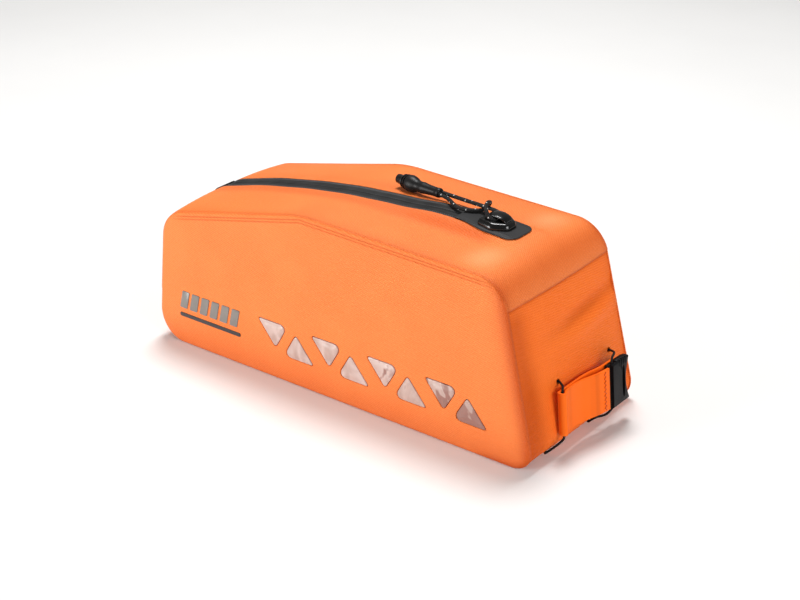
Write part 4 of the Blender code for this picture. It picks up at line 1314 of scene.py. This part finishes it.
side_drawing = draw_side()
for label, side in SIDES:
    drawing = side_drawing.copy()
    lay(drawing, lambda flat: on_side(side, flat), lambda flat: side_painted_shade_and_welds(flat, side))
    node = f"side_panel_{label}"
    outward = (0.0, side, 0.0)
    panel = put_walled(f"{node}_cloth", drawing, "shell_cloth", [node], outward, SIDE_WALL, PANEL_ANGLE)
    print(panel.name, len(panel.data.polygons), [round(value, 4) for value in panel.dimensions])
side_drawing.free()

# %% [markdown]
# ## The film windows
# The cuts in the sides are closed from behind by a milky film that swells a little through each opening. Each
# is a pad with a rounded edge and a soft pillow of a face, drawn flat and laid on the side like the cloth.

# %% Film pads
FILM_GAP = 0.00015
FILM_BACK = -0.0018
FILM_RINGS = (
    # inset, height
    (0.00001, -0.0006), (0.00006, -0.00026), (0.00010, -0.00006), (0.00014, 0.00006), (0.00016, 0.00012),
)
FILM_EDGE = FILM_GAP + sum(inset for inset, _ in FILM_RINGS)
FILM_SPACING = 0.0006
FILM_PILLOW = 0.00045
FILM_CREASE = 0.00010


def film_crease(x, z, index):
    """Shallow crossed waves, different on each window."""
    return math.sin(900.0 * x + 500.0 * z + 3.0 * index) * math.sin(700.0 * z - 300.0 * x + index)


def film_pad(index):
    corners = window_corners(index)
    bm, face = stepped_pad(grown(corners, -FILM_GAP), 0.0002, FILM_BACK, FILM_RINGS)
    rim = list(face.verts)
    bmesh.ops.delete(bm, geom=[face], context="FACES_ONLY")
    fill_flat(
        bm, rim, [], FILM_SPACING, lambda x, z: np.min(line_gaps(corners, x, z), axis=0) > FILM_EDGE + 0.0004)
    for vert in bm.verts:
        x, z, above = vert.co
        if above > 0.0001:
            gap = max(min(line_gaps(corners, x, z)) - FILM_EDGE, 0.0)
            vert.co.z += (FILM_PILLOW + FILM_CREASE * film_crease(x, z, index)) * float(ease(gap / 0.003))
    close_holes(bm)
    return bm


for label, side in SIDES:
    for index in range(WINDOW_COUNT):
        pad = film_pad(index)
        lay(pad, lambda flat: on_side(side, flat))
        name = f"window_film_{label}_{index + 1}"
        put_piece(name + "_pad", pad, "window_film", [name])
print("film pads", WINDOW_COUNT * 2)

# %% [markdown]
# ## The zip
# It is a covered zip: two rubbery tapes meet in the middle and hide the teeth. Each has a row of fine slanted
# ribs along its outer edge and small bumps where the halves meet. The tapes are grids on the crown, a little
# lower than the cloth, and their ribs are relief in the finish, because they are a fraction of a millimetre.

# %% Zip tapes
TAPE_SINK = 0.0003
TAPE_SEAM = 0.0002
TAPE_WALL = 0.0010
LIP_ROLL = 0.0005
BEAD_RISE = 0.00028
TAPE_COLUMNS = spread(TAPE_SEAM, 0.0010, 0.0040, TAPE_HALF, step=0.0004)
TAPE_ROWS = spread(ZIP_START + SEAM_GAP, ZIP_STOP - SEAM_GAP, step=0.0010)


def tape_profile(across):
    """Height of a tape over its flat middle band: a rolled lip at the centre and a bead along the edge."""
    lip = -LIP_ROLL * (1.0 - np.clip((across - TAPE_SEAM) / 0.0009, 0.0, 1.0)) ** 2
    return lip + BEAD_RISE * bell(across - 0.0053, 0.0010)


for label, side in SIDES:
    tape_flat = grid_of(TAPE_ROWS[:, None], TAPE_COLUMNS[None, :])
    along, across = tape_flat[..., 0], tape_flat[..., 1]
    height = TOP_PROUD - TAPE_SINK + tape_profile(across)
    tape_bm = sheet_of(tape_flat, on_gusset(along, side * across, height))
    node = f"zip_tape_{label}"
    tape = put_walled(f"{node}_cover", tape_bm, "zip_tape", [node], (0.0, 0.0, 1.0), TAPE_WALL)
print("zip tape", len(tape.data.polygons))

# %% [markdown]
# ## Patches over the ends of the zip
# A rubber patch is welded over each end of the zip. It flares from the tape's width to a rounded end, and
# its border is pressed thin. The grid's rows are as wide as the patch is there, so its edge is the outline
# itself.

# %% Zip patches
PATCH_LENGTH = 0.036
PATCH_HALF = 0.0098
PATCH_NECK = 0.020
PATCH_CORNER = 0.0055
PATCH_WALL = 0.0006
PATCH_PAST = 0.0105
PATCH_COLUMNS = 33
EDGE_PRESS = 0.0003
WELD_LINE_PRESS = 0.00016
SKIN_GAP = 0.0003


def patch_half_width(along):
    width = TAPE_HALF + (PATCH_HALF - TAPE_HALF) * ease(along / PATCH_NECK)
    short = np.clip(PATCH_CORNER - (PATCH_LENGTH - along), 0.0, PATCH_CORNER)
    return width - (PATCH_CORNER - np.sqrt(PATCH_CORNER ** 2 - short ** 2))


def patch_piece(node, far_end, way, outward):
    """A patch that starts at its far end, flares the given way along the zip and rounds off."""
    rounding = 1.0 - np.sin(np.linspace(0.0, math.pi / 2.0, 12)[1:])
    along = np.concatenate([
        spread(0.0, PATCH_LENGTH - PATCH_CORNER, step=0.0007), PATCH_LENGTH - PATCH_CORNER * rounding])
    width = patch_half_width(along)
    across = np.outer(width, np.sin(np.linspace(-1.0, 1.0, PATCH_COLUMNS) * math.pi / 2.0))
    inward = np.minimum(width[:, None] - np.abs(across), np.minimum(along, PATCH_LENGTH - along)[:, None])
    run = np.broadcast_to(along[:, None], across.shape)
    edge = -EDGE_PRESS * (1.0 - np.clip(inward / 0.0008, 0.0, 1.0)) ** 2
    press = edge - WELD_LINE_PRESS * bell(inward - 0.0015, 0.00032)
    above = TOP_PROUD + SKIN_GAP + PATCH_WALL + press
    places = on_gusset(far_end + way * (PATCH_LENGTH - run), across, above)
    bm = sheet_of(np.stack([run, across], axis=-1), places)
    return put_walled(f"{node}_rubber", bm, "patch_rubber", [node], outward, PATCH_WALL)


end_patch = patch_piece("zip_end_patch", ZIP_START - PATCH_PAST, 1.0, (0.0, 0.0, 1.0))
patch_piece("zip_rear_patch", ZIP_STOP + PATCH_PAST, -1.0, (-1.0, 0.0, 0.0))
print("patch", len(end_patch.data.polygons))

# %% [markdown]
# ## The slider
# The slider is glossy black plastic: a plate with a raised lip and a rounded nose, and a broad arch over it
# that the cord is tied round. The plate is an outline with rounded corners, stepped in and up. The arch is a
# bent strip with a crowned top. Both are drawn lying at the origin and then moved onto the zip.

# %% Slider
SLIDER_LENGTH = 0.0165
SLIDER_WIDE = 0.0084
SLIDER_PLATE = 0.0014
SLIDER_TILT = math.radians(3.285)
SLIDER_TOP = Vector((0.0657, 0.0, 0.0986))
SLIDER_PLACE = Matrix.Translation(SLIDER_TOP) @ Matrix.Rotation(SLIDER_TILT, 4, "Y")
ARCH_REACH = 0.0059
ARCH_RISE = 0.0038
ARCH_WIDE = 0.0036
ARCH_WALL = 0.0010
ARCH_FOOT = 0.0009
ARCH_CROWN = 0.0005
SLIDER_LIP = (
    # inset, height
    (0.00001, -0.0003), (0.0002, 0.0), (0.0002, 0.0005), (0.0003, 0.0009), (0.0004, 0.0012), (0.0006, 0.0014),
)


def slider_plate():
    half = SLIDER_LENGTH / 2.0
    one_side = (
        # x, share of the width, corner radius
        (-half, 0.80, 0.0020), (half * 0.15, 1.00, 0.0055), (half, 0.42, 0.0036),
    )
    corners = [(x, -SLIDER_WIDE * share, radius) for x, share, radius in one_side]
    corners += [(x, SLIDER_WIDE * share, radius) for x, share, radius in reversed(one_side)]
    bm, _ = stepped_pad(corners, 0.0004, -SLIDER_PLATE, SLIDER_LIP)
    close_holes(bm)
    return bm


def slider_arch():
    angles = np.linspace(0.0, math.pi, 29)[:, None]
    x = -ARCH_REACH * np.cos(angles)
    y = np.linspace(-ARCH_WIDE, ARCH_WIDE, 13)[None, :]
    z = -ARCH_FOOT + (ARCH_RISE + ARCH_FOOT) * np.sin(angles) ** 0.5
    width = 0.80 + 0.20 * np.sin(angles)
    return sheet_of(grid_of(x, y), grid_of(x, y * width, z + ARCH_CROWN * (1.0 - (y / ARCH_WIDE) ** 2)))


slider = put_piece("zip_slider_plate", slider_plate(), "slider_gloss", ["zip_slider"])
arch = put_piece("zip_slider_arch", slider_arch(), "slider_gloss", ["zip_slider"], (0.0, 0.0, 1.0))
thicken(arch, ARCH_WALL)
round_edges(arch, 0.0004, 3)
settle(arch)
for piece in (slider, arch):
    piece.data.transform(SLIDER_PLACE)
print("slider", [round(value, 4) for value in slider.dimensions])

# %% [markdown]
# ## The pull cord
# A thin braided cord is doubled: both its ends go into the grip, and its middle is looped round the arch. Its
# route is the one of the frame, smoothed, and it keeps its real length. The braid and its pale flecks are in
# the finish, on a map of metres along the cord and turns round it.

# %% Pull cord
PULL_RADIUS = 0.0010
PULL_ROUTE = (
    # millimetres from the slider: along the bag, across it, up
    (-41.0, 11.0, -1.7), (-34.5, 9.9, -1.0), (-26.5, 8.4, -0.1), (-19.0, 6.7, 1.0), (-12.5, 5.3, 1.9),
    (-7.0, 4.6, 2.3), (-2.8, 4.2, 2.0), (-0.4, 2.9, 1.4), (0.1, 0.0, 1.3), (-0.6, -2.9, 1.5),
    (-2.9, -4.1, 2.6), (-5.4, -3.2, 4.6), (-7.6, -0.3, 5.7), (-9.0, 3.3, 5.7), (-10.2, 6.9, 4.2),
    (-11.6, 7.9, 2.0), (-13.5, 6.0, -0.4), (-16.4, 3.0, -0.7), (-21.0, 1.3, -0.9), (-26.0, 2.0, -1.5),
    (-31.0, 4.8, -1.6), (-35.8, 7.4, -1.7), (-41.0, 8.7, -1.9),
)
pull_points = smooth_curve([SLIDER_PLACE @ (Vector(row) * MM) for row in PULL_ROUTE], 8)
pull_bm, pull_length = tube_along(pull_points, PULL_RADIUS, 14)
pull_cord = put_piece("pull_cord_braid", pull_bm, "pull_cord", ["pull_cord"])
print("pull cord", round(pull_length, 4), len(pull_cord.data.polygons))

# %% [markdown]
# ## The grip
# The grip is moulded rubber: a nub, a ribbed collar, a ball, a waist and a neck with a small lip where the
# cord goes in. It is round, so its half profile is spun about its middle line. It is then bent a little and
# turned so that its ball rests on the cloth.

# %% Grip
GRIP_RADIUS = 0.0043
GRIP_LENGTH = 0.0305
GRIP_REST = 0.64
GRIP_SWING = 0.0032
GRIP_PROFILE = (
    # share of the length from the nub, share of the radius
    (0.000, 0.00), (0.000, 0.34), (0.004, 0.46), (0.014, 0.55), (0.060, 0.58), (0.128, 0.58), (0.132, 0.50),
    (0.146, 0.50), (0.150, 0.66), (0.158, 0.78), (0.175, 0.84), (0.190, 0.82), (0.196, 0.70), (0.212, 0.68),
    (0.220, 0.84), (0.236, 0.92), (0.252, 0.92), (0.260, 0.80), (0.272, 0.80), (0.282, 0.95), (0.310, 0.99),
    (0.345, 1.00), (0.385, 0.97), (0.425, 0.90), (0.460, 0.80), (0.490, 0.71), (0.510, 0.66), (0.560, 0.655),
    (0.600, 0.67), (0.625, 0.69), (0.650, 0.67), (0.720, 0.61), (0.800, 0.575), (0.900, 0.55), (0.930, 0.55),
    (0.938, 0.58), (0.975, 0.58), (0.992, 0.54), (1.000, 0.46), (1.000, 0.00),
)
GRIP_BEND = 0.0007

grip_mouth = (pull_points[0] + pull_points[-1]) / 2.0
rest_x = grip_mouth.x - GRIP_LENGTH * GRIP_REST
grip_rest = Vector(on_gusset(distance_on_top(rest_x), grip_mouth.y + GRIP_SWING, 0.0))
grip_rest.z += GRIP_RADIUS + TOP_PROUD + SKIN_GAP
grip_bm = bmesh.new()
profile = []
for share, width in GRIP_PROFILE:
    profile.append(grip_bm.verts.new((GRIP_RADIUS * width, 0.0, GRIP_LENGTH * (1.0 - share) + SKIN_GAP)))
for low, high in zip(profile, profile[1:]):
    grip_bm.edges.new((low, high))
bmesh.ops.spin(
    grip_bm, geom=grip_bm.verts[:] + grip_bm.edges[:], cent=(0.0, 0.0, 0.0), axis=(0.0, 0.0, 1.0),
    angle=FULL_TURN, steps=30, use_merge=True)
bmesh.ops.remove_doubles(grip_bm, verts=grip_bm.verts, dist=1e-6)
for vert in grip_bm.verts:
    vert.co.x += GRIP_BEND * math.sin(math.pi * min(max(vert.co.z / GRIP_LENGTH, 0.0), 1.0))
grip_turn = (grip_rest - grip_mouth).to_track_quat("Z", "Y").to_matrix().to_4x4()
grip_bm.transform(Matrix.Translation(grip_mouth) @ grip_turn)
grip = put_piece("pull_grip_rubber", grip_bm, "grip_rubber", ["pull_grip"], angle=35.0)
print("grip", [round(value, 4) for value in grip.dimensions])

# %% [markdown]
# ## Reflective trim
# Six slanted dashes and a thin bar of reflective print lie low on the near side. They are thin rounded plates
# on the cloth, left plain.

# %% Trim
DASH_COUNT = 6
DASH_WIDE = 0.0052
DASH_HIGH = 0.0098
DASH_PITCH = 0.0070
DASH_SLANT = 0.0022
DASH_FIRST = -0.1030
DASH_FOOT = 0.0215
BAR_LONG = 0.0425
BAR_HIGH = 0.0022
BAR_FOOT = 0.0165
TRIM_WALL = 0.0004
TRIM_BACK = SKIN_GAP * 0.3


def trim_plate(node, x, foot, width, height, slant, radius, finish_name):
    """A thin leaning plate on the near side, cut across so that it can follow the dome."""
    top = foot + height
    corners = (
        (x, foot, radius), (x + width, foot, radius), (x + width + slant, top, radius),
        (x + slant, top, radius),
    )
    rings = ((0.00001, TRIM_WALL * 0.7), (0.00014, TRIM_WALL))
    bm, _ = stepped_pad(corners, 0.0002, TRIM_BACK, rings)
    for cut in np.arange(x + 0.002, x + width, 0.004):
        bmesh.ops.bisect_plane(
            bm, geom=bm.verts[:] + bm.edges[:] + bm.faces[:], plane_co=(cut, 0.0, 0.0),
            plane_no=(1.0, 0.0, 0.0))
    close_holes(bm)
    lay(bm, lambda flat: on_side(-1.0, flat))
    put_piece(f"{node}_print", bm, finish_name, [node])


for index in range(DASH_COUNT):
    trim_plate(
        f"reflector_dash_{index + 1}", DASH_FIRST + DASH_PITCH * index, DASH_FOOT, DASH_WIDE, DASH_HIGH,
        DASH_SLANT, 0.0006, "reflective_trim")
trim_plate("accent_bar", DASH_FIRST, BAR_FOOT, BAR_LONG, BAR_HIGH, 0.0, 0.0009, "bar_trim")
print("dashes", DASH_COUNT)

# %% [markdown]
# ## The strap
# A short strap of coated webbing is folded round the near lacing cord. Its back layer runs straight to the
# buckle, and its front layer stands off towards its free end. A grid follows the folded line and rises to the
# strap's height, Solidify gives it thickness on both sides, and a small bevel rounds its edges. The shade of
# three creases is painted on, and the cut end is darker. One zigzag row of thread runs up beside the cut end,
# made as one thin tube through the points of the zigzag.

# %% Strap
STRAP_HIGH = 0.0218
STRAP_FOOT = 0.0115
STRAP_LEAN = math.radians(5.0)
STRAP_WALL = 0.0011
STRAP_STANDOFF = 0.0007
STRAP_LEFT = -0.0238
STRAP_RIGHT = 0.0120
STRAP_SPREAD = 0.0056
LACING_RADIUS = 0.00058
SLEEVE_RADIUS = LACING_RADIUS + 0.00045
FRONT_LAYER = (
    # share of the length from the fold, share of the spread
    (1.00, 1.10), (0.80, 0.88), (0.62, 0.50), (0.45, 0.14), (0.30, 0.00), (0.17, 0.00), (0.08, 0.12),
)
BACK_LAYER = ((0.45, 0.00), (0.62, 0.04), (0.75, 0.14), (0.88, 0.30), (1.00, 0.40), (1.25, 0.44))
STRAP_CREASE_SHADE_AND_CUT_END = (
    # metres from the free end, width, share of the painted shade orange
    (0.0090, 0.0015, 0.40), (0.0125, 0.0008, 0.20), (0.0285, 0.0014, 0.22), (0.0002, 0.0006, 0.35),
)
strap_x = float(on_gusset(distance_at_height("end", STRAP_FOOT), 0.0)[0]) + STRAP_STANDOFF


def strap_places(out, y, up):
    """Places by distance out from the strap's back, across the bag, and up from its lower edge."""
    return grid_of(strap_x + out - up * math.sin(STRAP_LEAN), y, STRAP_FOOT + up * math.cos(STRAP_LEAN))


def strap_line():
    back = STRAP_WALL / 2.0
    fold = SLEEVE_RADIUS + back
    start = STRAP_LEFT + fold + back
    length = STRAP_RIGHT - start
    closed = STRAP_WALL + SEAM_GAP
    line = []
    for share, out in FRONT_LAYER:
        line.append((back + closed + (STRAP_SPREAD - closed) * out, start + length * share, 0.0))
    for angle in np.linspace(0.0, math.pi, 9):
        line.append((back + fold + fold * math.cos(angle), start - fold * math.sin(angle), 0.0))
    line += [(back + STRAP_SPREAD * out, start + length * share, 0.0) for share, out in BACK_LAYER]
    return smooth_curve(line, 5)


line = np.array(strap_line())
line_run = np.concatenate([[0.0], np.cumsum(np.linalg.norm(np.diff(line, axis=0), axis=1))])
up = np.linspace(0.0, STRAP_HIGH, 25)[None, :]
# Painted shade of three creases, and a darker cut end.
crease_shade_and_cut_end = sum(share * bell(line_run - place, width) for place, width, share in STRAP_CREASE_SHADE_AND_CUT_END)
strap_bm = sheet_of(
    grid_of(line_run[:, None], up), strap_places(line[:, 0][:, None], line[:, 1][:, None], up), None,
    np.broadcast_to(crease_shade_and_cut_end[:, None], (len(line), up.size)))
strap = put_piece("strap_loop_webbing", strap_bm, "strap_webbing", ["strap_loop"], angle=HARD_ANGLE)
thicken(strap, STRAP_WALL, 0.0)
round_edges(strap, 0.0003, 2, 60.0)
settle(strap, HARD_ANGLE)
print("strap", round(float(line_run[-1]), 4), [round(value, 4) for value in strap.dimensions])

# %% Stitches
STITCH_RADIUS = 0.00028
STITCH_LIFT = 0.00012
STITCH_STEP = 0.0011
STITCH_MARGINS = (0.0010, 0.0008)
STITCH_COLUMNS = STRAP_RIGHT - np.array([0.0030, 0.0042])

front = line[: len(line) // 2]
order = np.argsort(front[:, 1])
stitch_out = np.interp(STITCH_COLUMNS, front[order, 1], front[order, 0]) + STRAP_WALL / 2.0 + STITCH_LIFT
stitches = []
for k, height in enumerate(np.arange(STITCH_MARGINS[0], STRAP_HIGH - STITCH_MARGINS[1], STITCH_STEP)):
    stitches.append(Vector(strap_places(stitch_out[k % 2], STITCH_COLUMNS[k % 2], height)))
stitch_bm, stitch_length = tube_along(stitches, STITCH_RADIUS, 6)
put_piece("strap_stitches", stitch_bm, "stitch_thread", ["strap_loop"])
print("stitches", len(stitches), round(stitch_length, 4))

# %% [markdown]
# ## The buckle
# The buckle is a flat moulded hook: a plate with a hollow right edge, a slit, a bore for the cord, and a lug
# at its top with ridges for the thumb. It is an outline extruded and bevelled. The slit, the bore and the
# step beside the strap are then cut out of it, and the lug and its ridges are joined to it.

# %% Buckle
BUCKLE_WIDE = 0.0170
BUCKLE_HIGH = 0.0230
BUCKLE_DROP = 0.0014
BUCKLE_THICK = 0.0038
BUCKLE_WAIST = 0.0030
BUCKLE_LUG = 0.0007
BUCKLE_LEFT = STRAP_RIGHT + SKIN_GAP
BUCKLE_BACK = STRAP_WALL + STRAP_SPREAD * BACK_LAYER[-1][1] + SKIN_GAP
BORE_Y = BUCKLE_LEFT + BUCKLE_WIDE * 0.22
STRAP_FRAME = Matrix.Translation((strap_x, 0.0, STRAP_FOOT)) @ Matrix.Rotation(-STRAP_LEAN, 4, "Y")


def bevel_edges(bm, edges, width, segments):
    bmesh.ops.bevel(
        bm, geom=edges, offset=width, offset_type="OFFSET", segments=segments, profile=0.5, affect="EDGES",
        material=-1)


def bevelled_block(low, high, width, segments):
    """A block between two corners, given out, across and up, with rounded edges."""
    bm = bmesh.new()
    low, high = Vector(low), Vector(high)
    bmesh.ops.create_cube(bm, size=1.0)
    bmesh.ops.scale(bm, vec=high - low, verts=bm.verts)
    bmesh.ops.translate(bm, vec=(low + high) / 2.0, verts=bm.verts)
    bevel_edges(bm, bm.edges[:], width, segments)
    return bm


def round_rod(radius, depth, segments):
    """A rod along Z about the origin, for a bore or a hole."""
    bm = bmesh.new()
    bmesh.ops.create_cone(bm, cap_ends=True, segments=segments, radius1=radius, radius2=radius, depth=depth)
    return bm


def buckle_plate():
    bm = bmesh.new()
    right = BUCKLE_LEFT + BUCKLE_WIDE
    places = [(BUCKLE_LEFT, 0.0)]
    for share in np.linspace(0.0, 1.0, 15):
        places.append((right - BUCKLE_WAIST * math.sin(math.pi * share), BUCKLE_HIGH * share))
    places.append((BUCKLE_LEFT, BUCKLE_HIGH))
    face = bm.faces.new([bm.verts.new((BUCKLE_BACK, y, height)) for y, height in places])
    made = bmesh.ops.extrude_face_region(bm, geom=[face])
    moved = [item for item in made["geom"] if isinstance(item, bmesh.types.BMVert)]
    bmesh.ops.translate(bm, vec=(BUCKLE_THICK, 0.0, 0.0), verts=moved)
    sharp = [edge for edge in bm.edges if edge.calc_face_angle(0.0) > math.radians(HARD_ANGLE)]
    bevel_edges(bm, sharp, 0.0008, 3)
    return bm


print("buckle helpers ready")

# %% Cuts and ridges of the buckle
STEP_LOW = (BUCKLE_BACK + 0.0017, BUCKLE_LEFT - 0.001, -0.002)
STEP_HIGH = (BUCKLE_BACK + 0.0060, BUCKLE_LEFT + 0.0023, BUCKLE_HIGH + 0.002)
LUG_LOW = (BUCKLE_BACK + 0.0002, BUCKLE_LEFT + BUCKLE_WIDE * 0.36, BUCKLE_HIGH - 0.0020)
LUG_HIGH = (BUCKLE_BACK + BUCKLE_THICK - 0.0004, BUCKLE_LEFT + BUCKLE_WIDE * 0.82, BUCKLE_HIGH + BUCKLE_LUG)
RIDGE_COUNT = 4
RIDGE_PITCH = 0.0016
RIDGE_WIDE = 0.0008
RIDGE_LOW = (BUCKLE_BACK + 0.0010, BUCKLE_HIGH - 0.0030)
RIDGE_HIGH = (BUCKLE_BACK + BUCKLE_THICK + 0.0003, BUCKLE_HIGH + BUCKLE_LUG + 0.0002)
SLIT_PLACE = (BUCKLE_BACK, BUCKLE_LEFT + BUCKLE_WIDE * 0.62 + 0.0010, 0.0112)
SLIT_SIZE = (1.0, 0.0013, 0.0086, 1.0)

buckle = put_piece("strap_buckle_hook", buckle_plate(), "buckle_plastic", ["strap_buckle"], angle=HARD_ANGLE)
carve(buckle, bevelled_block(STEP_LOW, STEP_HIGH, 0.0003, 2), "DIFFERENCE", HARD_ANGLE)
carve(buckle, bevelled_block(LUG_LOW, LUG_HIGH, 0.0006, 3), "UNION", HARD_ANGLE)
for k in range(RIDGE_COUNT):
    y = LUG_LOW[1] + 0.0020 + RIDGE_PITCH * k
    low, high = (RIDGE_LOW[0], y, RIDGE_LOW[1]), (RIDGE_HIGH[0], y + RIDGE_WIDE, RIDGE_HIGH[1])
    carve(buckle, bevelled_block(low, high, 0.0002, 1), "UNION", HARD_ANGLE)
slit = round_rod(1.0, 0.014, 40)
slit_turn = Matrix.Rotation(math.pi / 2.0, 4, "Y")
slit.transform(Matrix.Translation(SLIT_PLACE) @ Matrix.Diagonal(SLIT_SIZE) @ slit_turn)
carve(buckle, slit, "DIFFERENCE", HARD_ANGLE)
bore = round_rod(SLEEVE_RADIUS, 0.034, 20)
bmesh.ops.translate(bore, vec=(BUCKLE_BACK + BUCKLE_THICK / 2.0, BORE_Y, BUCKLE_HIGH / 2.0), verts=bore.verts)
carve(buckle, bore, "DIFFERENCE", HARD_ANGLE)
buckle.data.transform(STRAP_FRAME @ Matrix.Translation((0.0, 0.0, -BUCKLE_DROP)))
print("buckle", [round(value, 4) for value in buckle.dimensions])

# %% [markdown]
# ## The lacing cords
# Two thin cords come out of holes in the end panel. One runs down through the fold of the strap, the other
# through the buckle, and each goes back in at the foot. The holes are cut with the cords' own directions.

# %% Lacing cords
LACING_OUT = 0.0007
EYELET_RADIUS = 0.0014
PANEL_DEPTH = 0.0020
FOOT_LINE = along_run("end foot", 0.48)
SLEEVE_ROUTE = (
    # millimetres out and across from the bore, share of the height
    (-1.7, 2.9, 1.06), (-0.6, 1.0, 1.035), (0.0, 0.0, 0.96), (0.0, 0.0, 0.70), (0.0, 0.0, 0.30),
    (0.0, 0.0, 0.06), (0.0, 0.0, -0.06), (-0.6, -1.8, -0.16),
)
BUCKLE_ROUTE = (
    (-3.0, 7.4, 1.05), (-0.9, 2.4, 1.07), (0.0, 0.0, 1.01), (0.0, 0.0, 0.92), (0.0, 0.0, 0.60),
    (0.0, 0.0, 0.30), (0.0, 0.0, 0.00), (0.0, 0.0, -0.06), (-2.0, -3.0, -0.19), (-5.5, -7.0, -0.24),
)


def end_place(distance, y, out):
    """A point off the end panel, along the panel's own way out."""
    _, _, nx, nz = outline_at(distance)
    return Vector(on_gusset(distance, y)) + Vector((float(nx), 0.0, float(nz))) * out


def lacing_points(hole, foot, bore_out, bore_y, height, rows):
    outs = (-3.0 * PANEL_DEPTH, -PANEL_DEPTH, 0.0, LACING_OUT)
    route = [end_place(*hole, out) for out in outs]
    for out, y, share in rows:
        route.append(Vector(strap_places(bore_out + out * MM, bore_y + y * MM, height * share)))
    route += [end_place(*foot, out) for out in reversed(outs)]
    return smooth_curve(route, 6)


near_hole = (distance_at_height("end", 0.0345), -0.0165)
near_foot = (FOOT_LINE, -0.0290)
far_hole = (distance_at_height("end", 0.0325), 0.0290)
far_foot = (FOOT_LINE, 0.0085)
sleeve = STRAP_WALL + SLEEVE_RADIUS
bore_out = BUCKLE_BACK + BUCKLE_THICK / 2.0
near_points = lacing_points(near_hole, near_foot, sleeve, STRAP_LEFT + sleeve, STRAP_HIGH, SLEEVE_ROUTE)
far_points = lacing_points(far_hole, far_foot, bore_out, BORE_Y, BUCKLE_HIGH, BUCKLE_ROUTE)
for label, points in (("near", near_points), ("far", far_points)):
    lacing_bm, lacing_length = tube_along(points, LACING_RADIUS, 12)
    put_piece(f"lacing_cord_{label}_braid", lacing_bm, "lacing_cord", [f"lacing_cord_{label}"])
    print("lacing", label, round(lacing_length, 4))

# %% Holes for the lacing
HOLE_INSIDE = -0.006
HOLE_OUTSIDE = 0.005

for place in (near_hole, near_foot, far_hole, far_foot):
    start, stop = end_place(*place, HOLE_INSIDE), end_place(*place, HOLE_OUTSIDE)
    hole = round_rod(EYELET_RADIUS, HOLE_OUTSIDE - HOLE_INSIDE, 24)
    turn = (stop - start).to_track_quat("Z", "Y").to_matrix().to_4x4()
    hole.transform(Matrix.Translation((start + stop) / 2.0) @ turn)
    carve(end_panel, hole, "DIFFERENCE", PANEL_ANGLE)
print("end panel", len(end_panel.data.polygons))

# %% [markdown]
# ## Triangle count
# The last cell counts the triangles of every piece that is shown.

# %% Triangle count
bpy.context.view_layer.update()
triangles = 0
for piece in bpy.context.scene.objects:
    if piece.type == "MESH" and not piece.hide_render:
        piece.data.calc_loop_triangles()
        triangles += len(piece.data.loop_triangles)
print("triangles", triangles)
